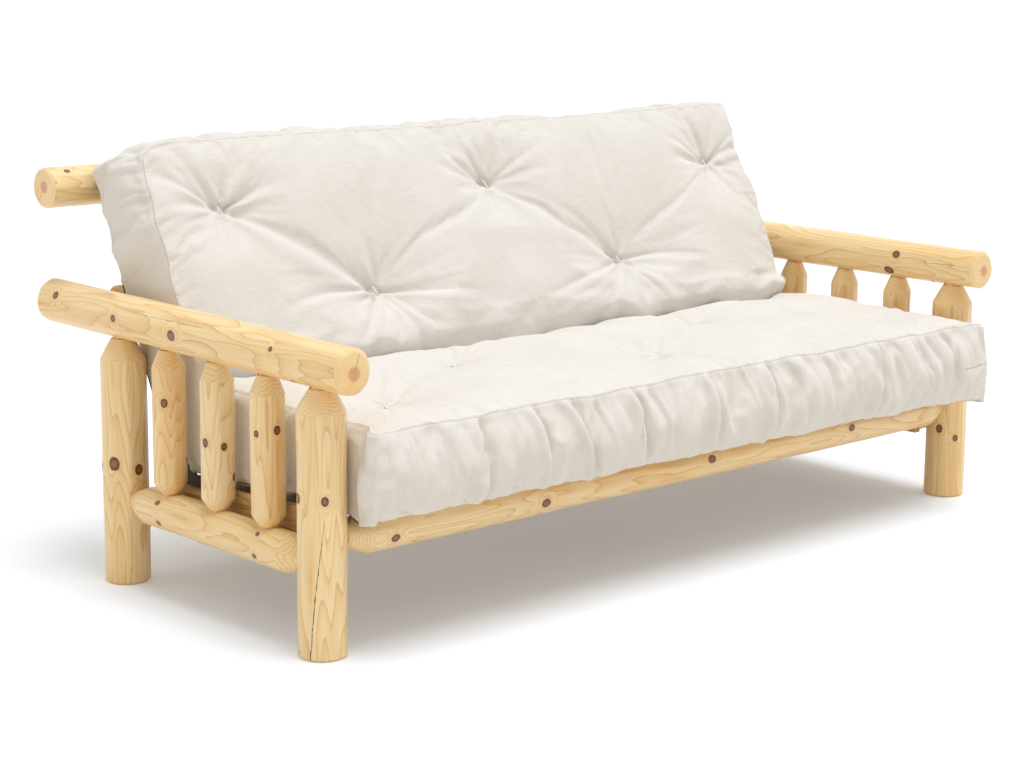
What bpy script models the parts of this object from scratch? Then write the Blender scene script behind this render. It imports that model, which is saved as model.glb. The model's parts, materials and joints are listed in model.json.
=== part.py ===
"""Log futon that folds from a sofa to a bed.

A frame of peeled pine logs carries a slatted deck in two halves. The seat half runs forward over
the front rail on three steel rails while the back half folds down behind it, guided by a roller on
each side. A tufted mattress lies on both halves.

Built in metres with +Z up and -Y to the front; left (-X) and right (+X) are as seen from the
front. Places along Y are first measured from the axis of the front posts; at the end the whole
object is moved so that its origin is the middle of its footprint.
"""
import math

import bmesh
import bpy
from mathutils import Matrix, Vector

# Clearances
GAP = 0.0003                   # between pieces that touch
SIDE_PLAY = 0.0005             # between plates that turn on the same pin
RAIL_PLAY = 0.0016             # seat rails above the crown of the front rail, at either end of travel

# Log frame
POST_SPAN_X = 2.030            # between post axes, side to side
POST_SPAN_Y = 0.704            # between post axes, front to back
POST_RADIUS = 0.051
POST_TAPER = 0.044             # height of the coned neck below the arm
POST_NECK_RADIUS = 0.029
FOOT_EASE = 0.004              # worn edge of the foot
ARM_AXIS_Z = 0.591
ARM_RADIUS = 0.045
ARM_FRONT_OVERHANG = 0.090
ARM_REAR_OVERHANG = 0.2950
ARM_FRONT_EASE = 0.005
ARM_REAR_ROUND = 0.020
SPINDLES_PER_SIDE = 3
SPINDLE_RADIUS = 0.0365
SPINDLE_NECK_RADIUS = 0.022
SPINDLE_TOP_TAPER = 0.032
SPINDLE_FOOT_TAPER = 0.020
SIDE_RAIL_Z = 0.190
SIDE_RAIL_RADIUS = 0.0427
FRONT_RAIL_Z = 0.238
FRONT_RAIL_RADIUS = 0.0455
REAR_RAIL_Z = 0.145
REAR_RAIL_RADIUS = 0.045
RAIL_TAPER = 0.052             # length of the coned end of a rail
RAIL_NECK_RADIUS = 0.023
TENON_RADIUS = 0.019
TENON_DEPTH = 0.042            # of a rail into a post
SPINDLE_TENON_RADIUS = 0.016
SPINDLE_TENON_DEPTH = 0.040    # of a spindle into the side rail
TENON_PAST_AXIS = 0.009        # tenons from below reach this far past the arm's axis
CONE_CURVE = 1.5               # how late a coned end narrows
LOG_SIDES = 16
SPINDLE_SIDES = 12
SHARP_ANGLE = math.radians(35)     # edges at least this sharp stay sharp

# Deck, in its two halves
SEAT_SLOPE = math.radians(3.6)     # seat half falls this much to the rear in the sofa
BACK_ANGLE = math.radians(64.0)    # back half above the level in the sofa
SEAT_TRAVEL = 0.160                # hinge line comes forward this far
HINGE_SETBACK = 0.144              # hinge line in front of the rear post axis
HINGE_DROP = 0.020                 # hinge line below the top of the slats
DECK_INSET = 0.053                 # deck's outer side from the post axis
SLAT_THICKNESS = 0.009
SLAT_WIDTH = 0.070
SLATS_PER_HALF = 5
SEAT_SLAT_PITCH = 0.130
SEAT_FIRST_SLAT = 0.085            # hinge line to the middle of the rearmost slat
BACK_FIRST_SLAT = 0.090            # hinge line to the middle of the lowest slat
BACK_LAST_SLAT = 0.114             # middle of the highest slat below the top of the back half
STEEL = 0.003                      # flange and lip of a seat rail
SEAT_RAIL_FLANGE = 0.042           # width of a seat rail's flange
SEAT_RAIL_FRONT = 0.660            # hinge line to the front end of a seat rail
SEAT_RAIL_REAR = 0.022             # hinge line to the rear end of the flange
SEAT_WEB_LENGTH = 0.340
SEAT_WEB_DEPTH = 0.030             # web's lower edge below the hinge line
BACK_RAIL_FLANGE = 0.030           # width of a back rail's flange, outside its web
BACK_RAIL_DEPTH = 0.035            # over flange and web
BACK_RAIL_FOOT = 0.030             # hinge line to the lower end of the flange
TOP_LOG_RADIUS = 0.046
TOP_LOG_OVERHANG = 0.045           # past the post axis, level with the arm's outer side
TOP_LOG_BELOW_END = 0.008          # top log's axis below the top of the back half
BACK_RAIL_PAST_LOG = 0.014         # back rail beyond the top log's axis
CROSS_LOG_RADIUS = 0.045
CROSS_LOG_RISE = 0.015             # cross log above the middle of the gap between two slats
CROSS_LOG_PLAY = 0.005             # cross log clear of the posts on each side
LOG_EASE = 0.005

# Hinges, rollers and their guides
PLATE = 0.005                      # webs and guide plates
PIN_RADIUS = 0.005
EYE_RADIUS = 0.0095
PIN_HEAD = 0.005
PIN_HEAD_RADIUS = 0.009
ROLLER_BACK = 0.020                # roller before the hinge line, along the back half
ROLLER_BEHIND = 0.050              # roller behind the hinge line, square to the back half
ROLLER_RADIUS = 0.011
ROLLER_LENGTH = 0.0104
ROLLER_PLAY = 0.0006               # roller in its slot
ROLLER_PIN_RADIUS = 0.004
ROLLER_SPACER_RADIUS = 0.006
ROLLER_EYE_RADIUS = 0.013
LEVER_ROOT = 0.120                 # roller's lever runs into the web this far from the hinge line
BOLT_RADIUS = 0.004
BOLT_HEAD = 0.004
BOLT_HEAD_RADIUS = 0.008
LOG_BOLT_INTO_LOG = 0.040
GUIDE_MARGIN = 0.030               # guide plate past the ends of its slot
GUIDE_LAND = 0.020                 # guide plate above and below its slot
GUIDE_STEPS = 12                   # points along one side of the slot
SLOT_END_STEPS = 8                 # points round one end of the slot
GUIDE_SCREW_INSET = 0.012

# Ledgers
LEDGER = 0.020                     # thickness
LEDGER_BELOW_RAIL = 0.030          # lower edge below the side rail's axis
LEDGER_REAR_DROP = 0.006           # rear part's top below the hinge line in the sofa
LEDGER_FRONT_PLAY = 0.006          # behind the front rail and before the rear post
LEDGER_STEP_PLAY = 0.010           # tall part ends this far before the hinge line in the bed
LEDGER_SCREW_Y = 0.110             # from the front post axis
SCREW_RADIUS = 0.003
SCREW_HEAD = 0.003
SCREW_HEAD_RADIUS = 0.006
SCREW_INTO_RAIL = 0.025
SCREW_SIDES = 8

# Mattress
MATTRESS_SIDE_INSET = 0.0625       # mattress side from the post axis
MATTRESS_EDGE = 0.164              # thickness at the outer seams
SEAT_FOLD_THICKNESS = 0.187        # thickness where the seat half meets the fold
BACK_FOLD_THICKNESS = 0.154
SEAT_HALF = 0.700                  # length along the deck from the fold, over the bulge
BACK_HALF = 0.724
FOLD_GAP = 0.002                   # between the two halves
CROWN = 0.030
CROWN_EDGE = 8                     # how close to the sides the crown stays full
DRAW_IN = 0.010                    # sides drawn in between the corners
END_PUFF = 0.010                   # bulge of the boxing at both ends
OUTER_PUFF = 0.020                 # bulge of the boxing in front and on top
CORNER_ROUND = 0.030
CORNER_TIGHTNESS = 12              # how close to the corner the rounding stays
SEAT_TUFT_DEPTH = 0.040
BACK_TUFT_DEPTH = 0.052
TUFT_REACH = 0.075
VALLEY_SHARE = 0.16                # depth of the fold between two tufts, of a tuft's
VALLEY_WIDTH = 0.060
TUFT_PITCH = 0.785                 # across the mattress; every second row is shifted by half of it
BACK_TUFT_ROWS = (0.305, 0.540)    # from the fold along the back half
SEAT_TUFT_ROWS = (0.240, 0.475)    # from the fold along the seat half
CELLS_ALONG = (5, 4, 3)            # from the fold over both rows of tufts to the outer seam
CELLS_ACROSS = (2, 5, 5, 5, 5, 2)  # from side to side over the columns of tufts
CELLS_UP = 3

# Places worked out from the sizes above
ARM_UNDER = ARM_AXIS_Z - ARM_RADIUS
HINGE_Y = POST_SPAN_Y - HINGE_SETBACK
SLAT_TOP = HINGE_DROP
SLAT_BOTTOM = SLAT_TOP - SLAT_THICKNESS
FLANGE_TOP = SLAT_BOTTOM - GAP
FLANGE_BOTTOM = FLANGE_TOP - STEEL
WEB_BACK = FLANGE_TOP - BACK_RAIL_DEPTH
RAIL_CLEAR = FRONT_RAIL_RADIUS + RAIL_PLAY
HINGE_Z = FRONT_RAIL_Z - (FLANGE_BOTTOM - RAIL_CLEAR
                          + HINGE_Y * math.sin(SEAT_SLOPE)) / math.cos(SEAT_SLOPE)
BED_HINGE_Y = HINGE_Y - SEAT_TRAVEL
BED_HINGE_Z = FRONT_RAIL_Z + RAIL_CLEAR - FLANGE_BOTTOM
BACK_WEB_OUT = DECK_INSET + BACK_RAIL_FLANGE
BACK_WEB_IN = BACK_WEB_OUT + PLATE
SEAT_WEB_OUT = BACK_WEB_IN + SIDE_PLAY
SEAT_WEB_IN = SEAT_WEB_OUT + PLATE
BOLT_LINE = (DECK_INSET + BACK_WEB_OUT) / 2
LEDGER_OUT = SIDE_RAIL_RADIUS + GAP
LEDGER_IN = LEDGER_OUT + LEDGER
GUIDE_OUT = LEDGER_IN + GAP
GUIDE_IN = GUIDE_OUT + PLATE
BACK_SLAT_PITCH = (BACK_HALF - BACK_LAST_SLAT - BACK_FIRST_SLAT) / (SLATS_PER_HALF - 1)
CROSS_LOG_ALONG = BACK_FIRST_SLAT + 2.5 * BACK_SLAT_PITCH + CROSS_LOG_RISE
TOP_LOG_ALONG = BACK_HALF - TOP_LOG_BELOW_END

# A station maps a distance inwards from a post axis to X: where it starts, and which way it runs
LEFT = (-POST_SPAN_X / 2, 1)
RIGHT = (POST_SPAN_X / 2, -1)
CENTRE = (-BOLT_LINE, 1)
STATIONS = {"left": LEFT, "centre": CENTRE, "right": RIGHT}
SIDES = {"left": LEFT, "right": RIGHT}


def across(station, inwards):
    """X of a place that lies this far inwards at a station."""
    start, way = station
    return start + way * inwards


def seat_centre():
    """Centre of the shallow arc that the seat half follows, below the floor, as (y, z)."""
    start = Vector((HINGE_Y, HINGE_Z))
    end = Vector((BED_HINGE_Y, BED_HINGE_Z))
    step = end - start
    square = Vector((-step.y, step.x))
    return (start + end) / 2 + square / (2 * math.tan(SEAT_SLOPE / 2))


def roller_place(share):
    """Roller's (y, z) when the fold has gone this share of its way from sofa to bed."""
    centre = seat_centre()
    hinge = Vector((HINGE_Y, HINGE_Z))
    hinge = centre + Matrix.Rotation(SEAT_SLOPE * share, 2) @ (hinge - centre)
    turn = Matrix.Rotation(BACK_ANGLE * (1 - share), 2)
    return hinge + turn @ Vector((-ROLLER_BACK, -ROLLER_BEHIND))


def deck_height(y, level):
    """Z of a plane of the seat half in the sofa, at this Y; level is its height over the hinge."""
    return HINGE_Z + (level - (y - HINGE_Y) * math.sin(SEAT_SLOPE)) / math.cos(SEAT_SLOPE)


def finish(name, colour, roughness, metallic=0.0):
    """A material with one colour, roughness and metallic value."""
    material = bpy.data.materials.new(name)
    material.use_nodes = True
    shader = material.node_tree.nodes["Principled BSDF"]
    shader.inputs["Base Color"].default_value = (*colour, 1.0)
    shader.inputs["Roughness"].default_value = roughness
    shader.inputs["Metallic"].default_value = metallic
    return material


def add(name, body, material, parent, place=Matrix()):
    """Turn a bmesh into a named object at a place under its parent."""
    bmesh.ops.recalc_face_normals(body, faces=body.faces)
    mesh = bpy.data.meshes.new(name)
    body.to_mesh(mesh)
    body.free()
    mesh.shade_smooth()
    mesh.set_sharp_from_angle(angle=SHARP_ANGLE)
    if material:
        mesh.materials.append(material)
    piece = bpy.data.objects.new(name, mesh)
    bpy.context.collection.objects.link(piece)
    piece.parent = parent
    piece.matrix_basis = place
    return piece


def shape(piece, body, operation, place=None):
    """Cut a bmesh out of a piece, or join it to the piece."""
    tool = add(piece.name + "_" + operation.lower(), body, None, piece.parent,
               piece.matrix_basis if place is None else place)
    tool.hide_render = True
    tool.display_type = 'WIRE'
    change = piece.modifiers.new(operation.lower(), 'BOOLEAN')
    change.operation = operation
    change.solver = 'EXACT'
    change.object = tool


def axis_empty(name, parent, place):
    """An empty that carries a group of pieces."""
    empty = bpy.data.objects.new(name, None)
    bpy.context.collection.objects.link(empty)
    empty.parent = parent
    empty.matrix_basis = place
    return empty


def turned(body, profile, sides, place=Matrix(), bore=0.0):
    """Add a solid turned about local Z to a bmesh; profile holds (height, radius) pairs."""
    rings = list(profile)
    if bore:
        rings += [(profile[-1][0], bore), (profile[0][0], bore)]
    loops = []
    for height, radius in rings:
        angles = [2 * math.pi * k / sides for k in range(sides)]
        points = [Vector((radius * math.cos(a), radius * math.sin(a), height)) for a in angles]
        loops.append([body.verts.new(place @ point) for point in points])
    pairs = list(zip(loops, loops[1:]))
    if bore:
        pairs.append((loops[-1], loops[0]))
    for lower, upper in pairs:
        for k in range(sides):
            n = (k + 1) % sides
            body.faces.new((lower[k], lower[n], upper[n], upper[k]))
    if not bore:
        body.faces.new(list(reversed(loops[0])))
        body.faces.new(loops[-1])
    return body


def prism(body, outline, low, high, along="X"):
    """Add an outline pulled along one axis to a bmesh; its points hold the other two axes."""
    def point(pair, depth):
        return Vector((depth, *pair)) if along == "X" else Vector((pair[0], depth, pair[1]))
    ends = [[body.verts.new(point(pair, depth)) for pair in outline] for depth in (low, high)]
    count = len(outline)
    for k in range(count):
        n = (k + 1) % count
        body.faces.new((ends[0][k], ends[0][n], ends[1][n], ends[1][k]))
    body.faces.new(list(reversed(ends[0])))
    body.faces.new(ends[1])
    return body


def rectangle(low_a, high_a, low_b, high_b):
    """Corners of a rectangle."""
    return [(low_a, low_b), (high_a, low_b), (high_a, high_b), (low_a, high_b)]


def circle(centre, radius, sides=16):
    """Points of a circle."""
    angles = [2 * math.pi * k / sides for k in range(sides)]
    return [(centre[0] + radius * math.cos(a), centre[1] + radius * math.sin(a)) for a in angles]


def hull(points):
    """Convex outline round a set of points."""
    ordered = sorted(set(points))

    def half(run):
        chain = []
        for p in run:
            while len(chain) > 1:
                (ax, ay), (bx, by) = chain[-2], chain[-1]
                if (bx - ax) * (p[1] - ay) - (by - ay) * (p[0] - ax) > 1e-12:
                    break
                chain.pop()
            chain.append(p)
        return chain[:-1]
    return half(ordered) + half(reversed(ordered))


def along_x(x, y, z):
    """Place a turned piece so that it runs along +X from this point."""
    return Matrix.Translation((x, y, z)) @ Matrix.Rotation(math.radians(90), 4, 'Y')


def along_y(x, y, z):
    """Place a turned piece so that it runs along +Y from this point."""
    return Matrix.Translation((x, y, z)) @ Matrix.Rotation(math.radians(-90), 4, 'X')


def inwards_from(station, inwards, y, z):
    """Place a turned piece so that it runs inwards at a station from this point."""
    turn = Matrix.Rotation(math.radians(90 * station[1]), 4, 'Y')
    return Matrix.Translation((across(station, inwards), y, z)) @ turn


def coned(start, end, wide, narrow, steps=3):
    """Profile points of a rounded cone, from its wide start to its narrow end."""
    shares = [k / steps for k in range(steps + 1)]
    return [(start + (end - start) * u, wide + (narrow - wide) * u ** CONE_CURVE) for u in shares]


def rounded(start, end, radius, edge, steps=3):
    """Profile points of a rounded log end: a quarter circle of this edge radius."""
    angles = [math.pi / 2 * k / steps for k in range(steps + 1)]
    way = 1 if end > start else -1
    return [(end - way * edge * (1 - math.sin(a)), radius - edge * (1 - math.cos(a))) for a in angles]


def rail_profile(span, radius):
    """Profile of a log rail with coned and tenoned ends, between two post axes this far apart."""
    near = POST_RADIUS + GAP
    first = [(near - TENON_DEPTH, TENON_RADIUS), (near, TENON_RADIUS)]
    first += list(reversed(coned(near + RAIL_TAPER, near, radius, RAIL_NECK_RADIUS)))
    return first + [(span - z, r) for z, r in reversed(first)]


def make_posts(parent, pine):
    """Four corner posts, mortised for the rails, their necks tenoned into the arms."""
    neck = ARM_UNDER - GAP
    profile = [(0, POST_RADIUS - FOOT_EASE), (FOOT_EASE, POST_RADIUS)]
    profile += coned(neck - POST_TAPER, neck, POST_RADIUS, POST_NECK_RADIUS)
    profile += [(neck, TENON_RADIUS), (ARM_AXIS_Z + TENON_PAST_AXIS, TENON_RADIUS)]
    mortise = [(0, TENON_RADIUS + GAP), (2 * POST_RADIUS, TENON_RADIUS + GAP)]
    deep = POST_RADIUS - TENON_DEPTH
    for side, station in SIDES.items():
        for end, y, rail_z in (("front", 0, FRONT_RAIL_Z), ("rear", POST_SPAN_Y, REAR_RAIL_Z)):
            x = across(station, 0)
            post = add(f"{end}_{side}_post", turned(bmesh.new(), profile, LOG_SIDES), pine, parent,
                       Matrix.Translation((x, y, 0)))
            holes = turned(bmesh.new(), mortise, LOG_SIDES, inwards_from(station, deep, y, rail_z))
            start = y + deep if end == "front" else y - deep - 2 * POST_RADIUS
            turned(holes, mortise, LOG_SIDES, along_y(x, start, SIDE_RAIL_Z))
            shape(post, holes, 'DIFFERENCE', Matrix())


def spindle_places():
    """Places of the spindles along Y, evenly between the posts."""
    count = SPINDLES_PER_SIDE
    return [POST_SPAN_Y * (k + 1) / (count + 1) for k in range(count)]


def make_arms(parent, pine):
    """Two arm logs, mortised from below for the posts and spindles."""
    length = ARM_FRONT_OVERHANG + POST_SPAN_Y + ARM_REAR_OVERHANG
    profile = [(0, ARM_RADIUS - ARM_FRONT_EASE), (ARM_FRONT_EASE, ARM_RADIUS)]
    profile += rounded(0, length, ARM_RADIUS, ARM_REAR_ROUND)
    top = ARM_AXIS_Z + TENON_PAST_AXIS + GAP
    under = ARM_UNDER - ARM_RADIUS
    for side, station in SIDES.items():
        x = across(station, 0)
        arm = add(f"{side}_arm", turned(bmesh.new(), profile, LOG_SIDES), pine, parent,
                  along_y(x, -ARM_FRONT_OVERHANG, ARM_AXIS_Z))
        holes = bmesh.new()
        for y in (0, POST_SPAN_Y):
            mortise = [(under, TENON_RADIUS + GAP), (top, TENON_RADIUS + GAP)]
            turned(holes, mortise, LOG_SIDES, Matrix.Translation((x, y, 0)))
        for y in spindle_places():
            mortise = [(under, SPINDLE_TENON_RADIUS + GAP), (top, SPINDLE_TENON_RADIUS + GAP)]
            turned(holes, mortise, SPINDLE_SIDES, Matrix.Translation((x, y, 0)))
        shape(arm, holes, 'DIFFERENCE', Matrix())


def guide_box():
    """Low and high (y, z) corners of a guide plate, round the path of its roller."""
    path = [roller_place(k / GUIDE_STEPS) for k in range(GUIDE_STEPS + 1)]
    ys = [p.x for p in path]
    zs = [p.y for p in path]
    edge = ROLLER_RADIUS + ROLLER_PLAY
    low = (min(ys) - GUIDE_MARGIN, min(zs) - edge - GUIDE_LAND)
    return low, (max(ys) + GUIDE_MARGIN, max(zs) + edge + GUIDE_LAND / 2)


def side_screws():
    """Screws of one side along X: name, place in (y, z) and the inner face under the head."""
    low, high = guide_box()
    level = low[1] + GUIDE_SCREW_INSET
    return [("ledger_screw", LEDGER_SCREW_Y, SIDE_RAIL_Z, LEDGER_IN),
            ("front_guide_screw", low[0] + GUIDE_SCREW_INSET, level, GUIDE_IN),
            ("rear_guide_screw", high[0] - GUIDE_SCREW_INSET, level, GUIDE_IN)]


def screw_holes(station):
    """Cutter for every hole that the screws of one side run through."""
    body = bmesh.new()
    start = SIDE_RAIL_RADIUS - SCREW_INTO_RAIL - GAP
    for _, y, z, face in side_screws():
        hole = [(0, SCREW_RADIUS + GAP), (face + PLATE - start, SCREW_RADIUS + GAP)]
        turned(body, hole, SCREW_SIDES, inwards_from(station, start, y, z))
    return body


def make_side_rails(parent, pine):
    """Two lower side rails, mortised from above for the spindles and drilled for the ledger."""
    profile = rail_profile(POST_SPAN_Y, SIDE_RAIL_RADIUS)
    rail_top = SIDE_RAIL_Z + SIDE_RAIL_RADIUS
    for side, station in SIDES.items():
        x = across(station, 0)
        rail = add(f"{side}_lower_rail", turned(bmesh.new(), profile, LOG_SIDES), pine, parent,
                   along_y(x, 0, SIDE_RAIL_Z))
        holes = screw_holes(station)
        mortise = [(rail_top - SPINDLE_TENON_DEPTH - GAP, SPINDLE_TENON_RADIUS + GAP),
                   (rail_top + SPINDLE_TENON_DEPTH, SPINDLE_TENON_RADIUS + GAP)]
        for y in spindle_places():
            turned(holes, mortise, SPINDLE_SIDES, Matrix.Translation((x, y, 0)))
        shape(rail, holes, 'DIFFERENCE', Matrix())


def make_spindles(parent, pine):
    """Spindles of both side panels, numbered from the front."""
    foot = SIDE_RAIL_Z + SIDE_RAIL_RADIUS + GAP
    neck = ARM_UNDER - GAP
    profile = [(foot - SPINDLE_TENON_DEPTH, SPINDLE_TENON_RADIUS), (foot, SPINDLE_TENON_RADIUS)]
    profile += coned(foot + SPINDLE_FOOT_TAPER, foot, SPINDLE_RADIUS, SPINDLE_NECK_RADIUS)[::-1]
    profile += coned(neck - SPINDLE_TOP_TAPER, neck, SPINDLE_RADIUS, SPINDLE_NECK_RADIUS)
    profile += [(neck, SPINDLE_TENON_RADIUS), (ARM_AXIS_Z + TENON_PAST_AXIS, SPINDLE_TENON_RADIUS)]
    for side, station in SIDES.items():
        for number, y in enumerate(spindle_places(), 1):
            add(f"{side}_spindle_{number}", turned(bmesh.new(), profile, SPINDLE_SIDES), pine, parent,
                Matrix.Translation((across(station, 0), y, 0)))


def make_long_rails(parent, pine):
    """Front rail and low rear rail, tenoned into the posts."""
    for name, radius, y, z in (("front_rail", FRONT_RAIL_RADIUS, 0, FRONT_RAIL_Z),
                               ("rear_rail", REAR_RAIL_RADIUS, POST_SPAN_Y, REAR_RAIL_Z)):
        profile = rail_profile(POST_SPAN_X, radius)
        add(name, turned(bmesh.new(), profile, LOG_SIDES), pine, parent,
            along_x(-POST_SPAN_X / 2, y, z))


def make_ledgers(parent, board):
    """Boards on the side rails; the tall front part carries the seat rails at the seat's slope."""
    front = FRONT_RAIL_RADIUS + LEDGER_FRONT_PLAY
    step = BED_HINGE_Y - LEDGER_STEP_PLAY
    rear = POST_SPAN_Y - POST_RADIUS - LEDGER_FRONT_PLAY
    bottom = SIDE_RAIL_Z - LEDGER_BELOW_RAIL
    low_top = HINGE_Z - LEDGER_REAR_DROP
    level = FLANGE_BOTTOM - GAP
    outline = [(front, bottom), (rear, bottom), (rear, low_top), (step, low_top),
               (step, deck_height(step, level)), (front, deck_height(front, level))]
    for side, station in SIDES.items():
        body = prism(bmesh.new(), outline, across(station, LEDGER_OUT), across(station, LEDGER_IN))
        ledger = add(f"{side}_ledger", body, board, parent)
        shape(ledger, screw_holes(station), 'DIFFERENCE')


def slot_outline():
    """Outline of the slot that the roller runs in, along the roller's path."""
    half = ROLLER_RADIUS + ROLLER_PLAY
    path = [roller_place(k / GUIDE_STEPS) for k in range(GUIDE_STEPS + 1)]
    upper = []
    lower = []
    for k, point in enumerate(path):
        run = (path[min(k + 1, GUIDE_STEPS)] - path[max(k - 1, 0)]).normalized()
        square = Vector((-run.y, run.x)) * half
        upper.append(point + square)
        lower.append(point - square)

    def end(point, start):
        arm = start - point
        turns = [Matrix.Rotation(-math.pi * k / SLOT_END_STEPS, 2) for k in range(1, SLOT_END_STEPS)]
        return [point + turn @ arm for turn in turns]
    loop = upper + end(path[-1], upper[-1]) + lower[::-1] + end(path[0], lower[0])
    return [tuple(point) for point in loop]


def make_guides(parent, steel):
    """Slotted steel plates on the inner faces of the ledgers."""
    low, high = guide_box()
    outline = rectangle(low[0], high[0], low[1], high[1])
    for side, station in SIDES.items():
        outer, inner = across(station, GUIDE_OUT), across(station, GUIDE_IN)
        plate = add(f"{side}_guide_plate", prism(bmesh.new(), outline, outer, inner), steel, parent)
        past = station[1] * PLATE
        slot = prism(bmesh.new(), slot_outline(), outer - past, inner + past)
        shape(plate, slot, 'DIFFERENCE')
        shape(plate, screw_holes(station), 'DIFFERENCE')


def make_side_screws(parent, steel):
    """Screws that hold the ledgers and the guide plates to the lower side rails."""
    start = SIDE_RAIL_RADIUS - SCREW_INTO_RAIL
    for side, station in SIDES.items():
        for name, y, z, face in side_screws():
            seat = face + GAP - start
            profile = [(0, SCREW_RADIUS), (seat, SCREW_RADIUS), (seat, SCREW_HEAD_RADIUS),
                       (seat + SCREW_HEAD, SCREW_HEAD_RADIUS)]
            body = turned(bmesh.new(), profile, SCREW_SIDES, inwards_from(station, start, y, z))
            add(f"{side}_{name}", body, steel, parent)


def make_seat_rails(parent, place, steel):
    """Three steel seat rails: a flange, a web that ends in the hinge eye and, at the sides, a lip."""
    outer = DECK_INSET
    inner = max(outer + SEAT_RAIL_FLANGE, SEAT_WEB_IN + GAP)
    lip_top = SLAT_TOP - GAP
    into = FLANGE_BOTTOM + STEEL / 2
    corners = [(-SEAT_WEB_LENGTH, into), (-SEAT_RAIL_REAR - STEEL, into),
               (-SEAT_WEB_LENGTH, -SEAT_WEB_DEPTH / 2), (-SEAT_WEB_LENGTH / 2, -SEAT_WEB_DEPTH)]
    web = hull(corners + circle((0, 0), EYE_RADIUS))
    hole = [(-PLATE, PIN_RADIUS + GAP), (2 * PLATE, PIN_RADIUS + GAP)]
    for name, station in STATIONS.items():
        section = rectangle(outer, inner, FLANGE_BOTTOM, FLANGE_TOP)
        if name in SIDES:
            section[3:] = [(outer + STEEL, FLANGE_TOP), (outer + STEEL, lip_top), (outer, lip_top)]
        section = [(across(station, i), t) for i, t in section]
        body = prism(bmesh.new(), section, -SEAT_RAIL_FRONT, -SEAT_RAIL_REAR, "Y")
        rail = add(f"{name}_seat_rail", body, steel, parent, place)
        plate = prism(bmesh.new(), web, across(station, SEAT_WEB_OUT), across(station, SEAT_WEB_IN))
        shape(rail, plate, 'UNION')
        eye = turned(bmesh.new(), hole, SPINDLE_SIDES, inwards_from(station, SEAT_WEB_OUT, 0, 0))
        shape(rail, eye, 'DIFFERENCE')


def make_slats(parent, place, board, name, first, pitch):
    """Slats of one half of the deck, numbered from the hinge line."""
    low = across(LEFT, DECK_INSET + STEEL + GAP)
    high = across(RIGHT, DECK_INSET + STEEL + GAP)
    for number in range(SLATS_PER_HALF):
        middle = first + pitch * number
        edges = sorted((middle - math.copysign(SLAT_WIDTH / 2, first),
                        middle + math.copysign(SLAT_WIDTH / 2, first)))
        body = prism(bmesh.new(), rectangle(*edges, SLAT_BOTTOM, SLAT_TOP), low, high)
        add(f"{name}_slat_{number + 1}", body, board, parent, place)


def back_web(guided):
    """Outline of a back rail's web: hinge eye, straight web and, where guided, the roller's lever."""
    top = FLANGE_TOP - STEEL / 3
    end = TOP_LOG_ALONG + BACK_RAIL_PAST_LOG
    root = [(LEVER_ROOT, WEB_BACK), (LEVER_ROOT, top)]
    points = root + circle((0, 0), EYE_RADIUS)
    if guided:
        points += circle((-ROLLER_BACK, -ROLLER_BEHIND), ROLLER_EYE_RADIUS)
    outline = hull(points)
    after = outline.index(root[0]) + 1
    return outline[:after] + [(end, WEB_BACK), (end, top)] + outline[after:]


def make_back_rails(parent, place, steel):
    """Three steel angles of the back half; those at the sides reach down to carry a roller."""
    end = TOP_LOG_ALONG + BACK_RAIL_PAST_LOG
    flange = rectangle(BACK_RAIL_FOOT, end - STEEL, FLANGE_BOTTOM, FLANGE_TOP)
    for name, station in STATIONS.items():
        body = prism(bmesh.new(), flange, across(station, DECK_INSET),
                     across(station, BACK_WEB_OUT + PLATE / 2))
        rail = add(f"{name}_back_rail", body, steel, parent, place)
        web = prism(bmesh.new(), back_web(name in SIDES), across(station, BACK_WEB_OUT),
                    across(station, BACK_WEB_IN))
        shape(rail, web, 'UNION')
        drilled = [((0, 0), PIN_RADIUS)]
        if name in SIDES:
            drilled.append(((-ROLLER_BACK, -ROLLER_BEHIND), ROLLER_PIN_RADIUS))
        holes = bmesh.new()
        for (along, level), radius in drilled:
            profile = [(-PLATE, radius + GAP), (2 * PLATE, radius + GAP)]
            turned(holes, profile, SPINDLE_SIDES, inwards_from(station, BACK_WEB_OUT, along, level))
        through = [(FLANGE_BOTTOM - STEEL, BOLT_RADIUS + GAP), (FLANGE_TOP + STEEL, BOLT_RADIUS + GAP)]
        for along in (CROSS_LOG_ALONG, TOP_LOG_ALONG):
            spot = Matrix.Translation((across(station, BOLT_LINE), along, 0))
            turned(holes, through, SCREW_SIDES, spot)
        shape(rail, holes, 'DIFFERENCE')


def make_hinge_pins(parent, place, steel):
    """A pin at each hinge, riveted over a head on both sides."""
    start = BACK_WEB_OUT - GAP - PIN_HEAD
    near = PIN_HEAD
    far = SEAT_WEB_IN + GAP - start
    profile = [(0, PIN_HEAD_RADIUS), (near, PIN_HEAD_RADIUS), (near, PIN_RADIUS), (far, PIN_RADIUS),
               (far, PIN_HEAD_RADIUS), (far + PIN_HEAD, PIN_HEAD_RADIUS)]
    for name, station in STATIONS.items():
        body = turned(bmesh.new(), profile, SPINDLE_SIDES, inwards_from(station, start, 0, 0))
        add(f"{name}_hinge_pin", body, steel, parent, place)


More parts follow.
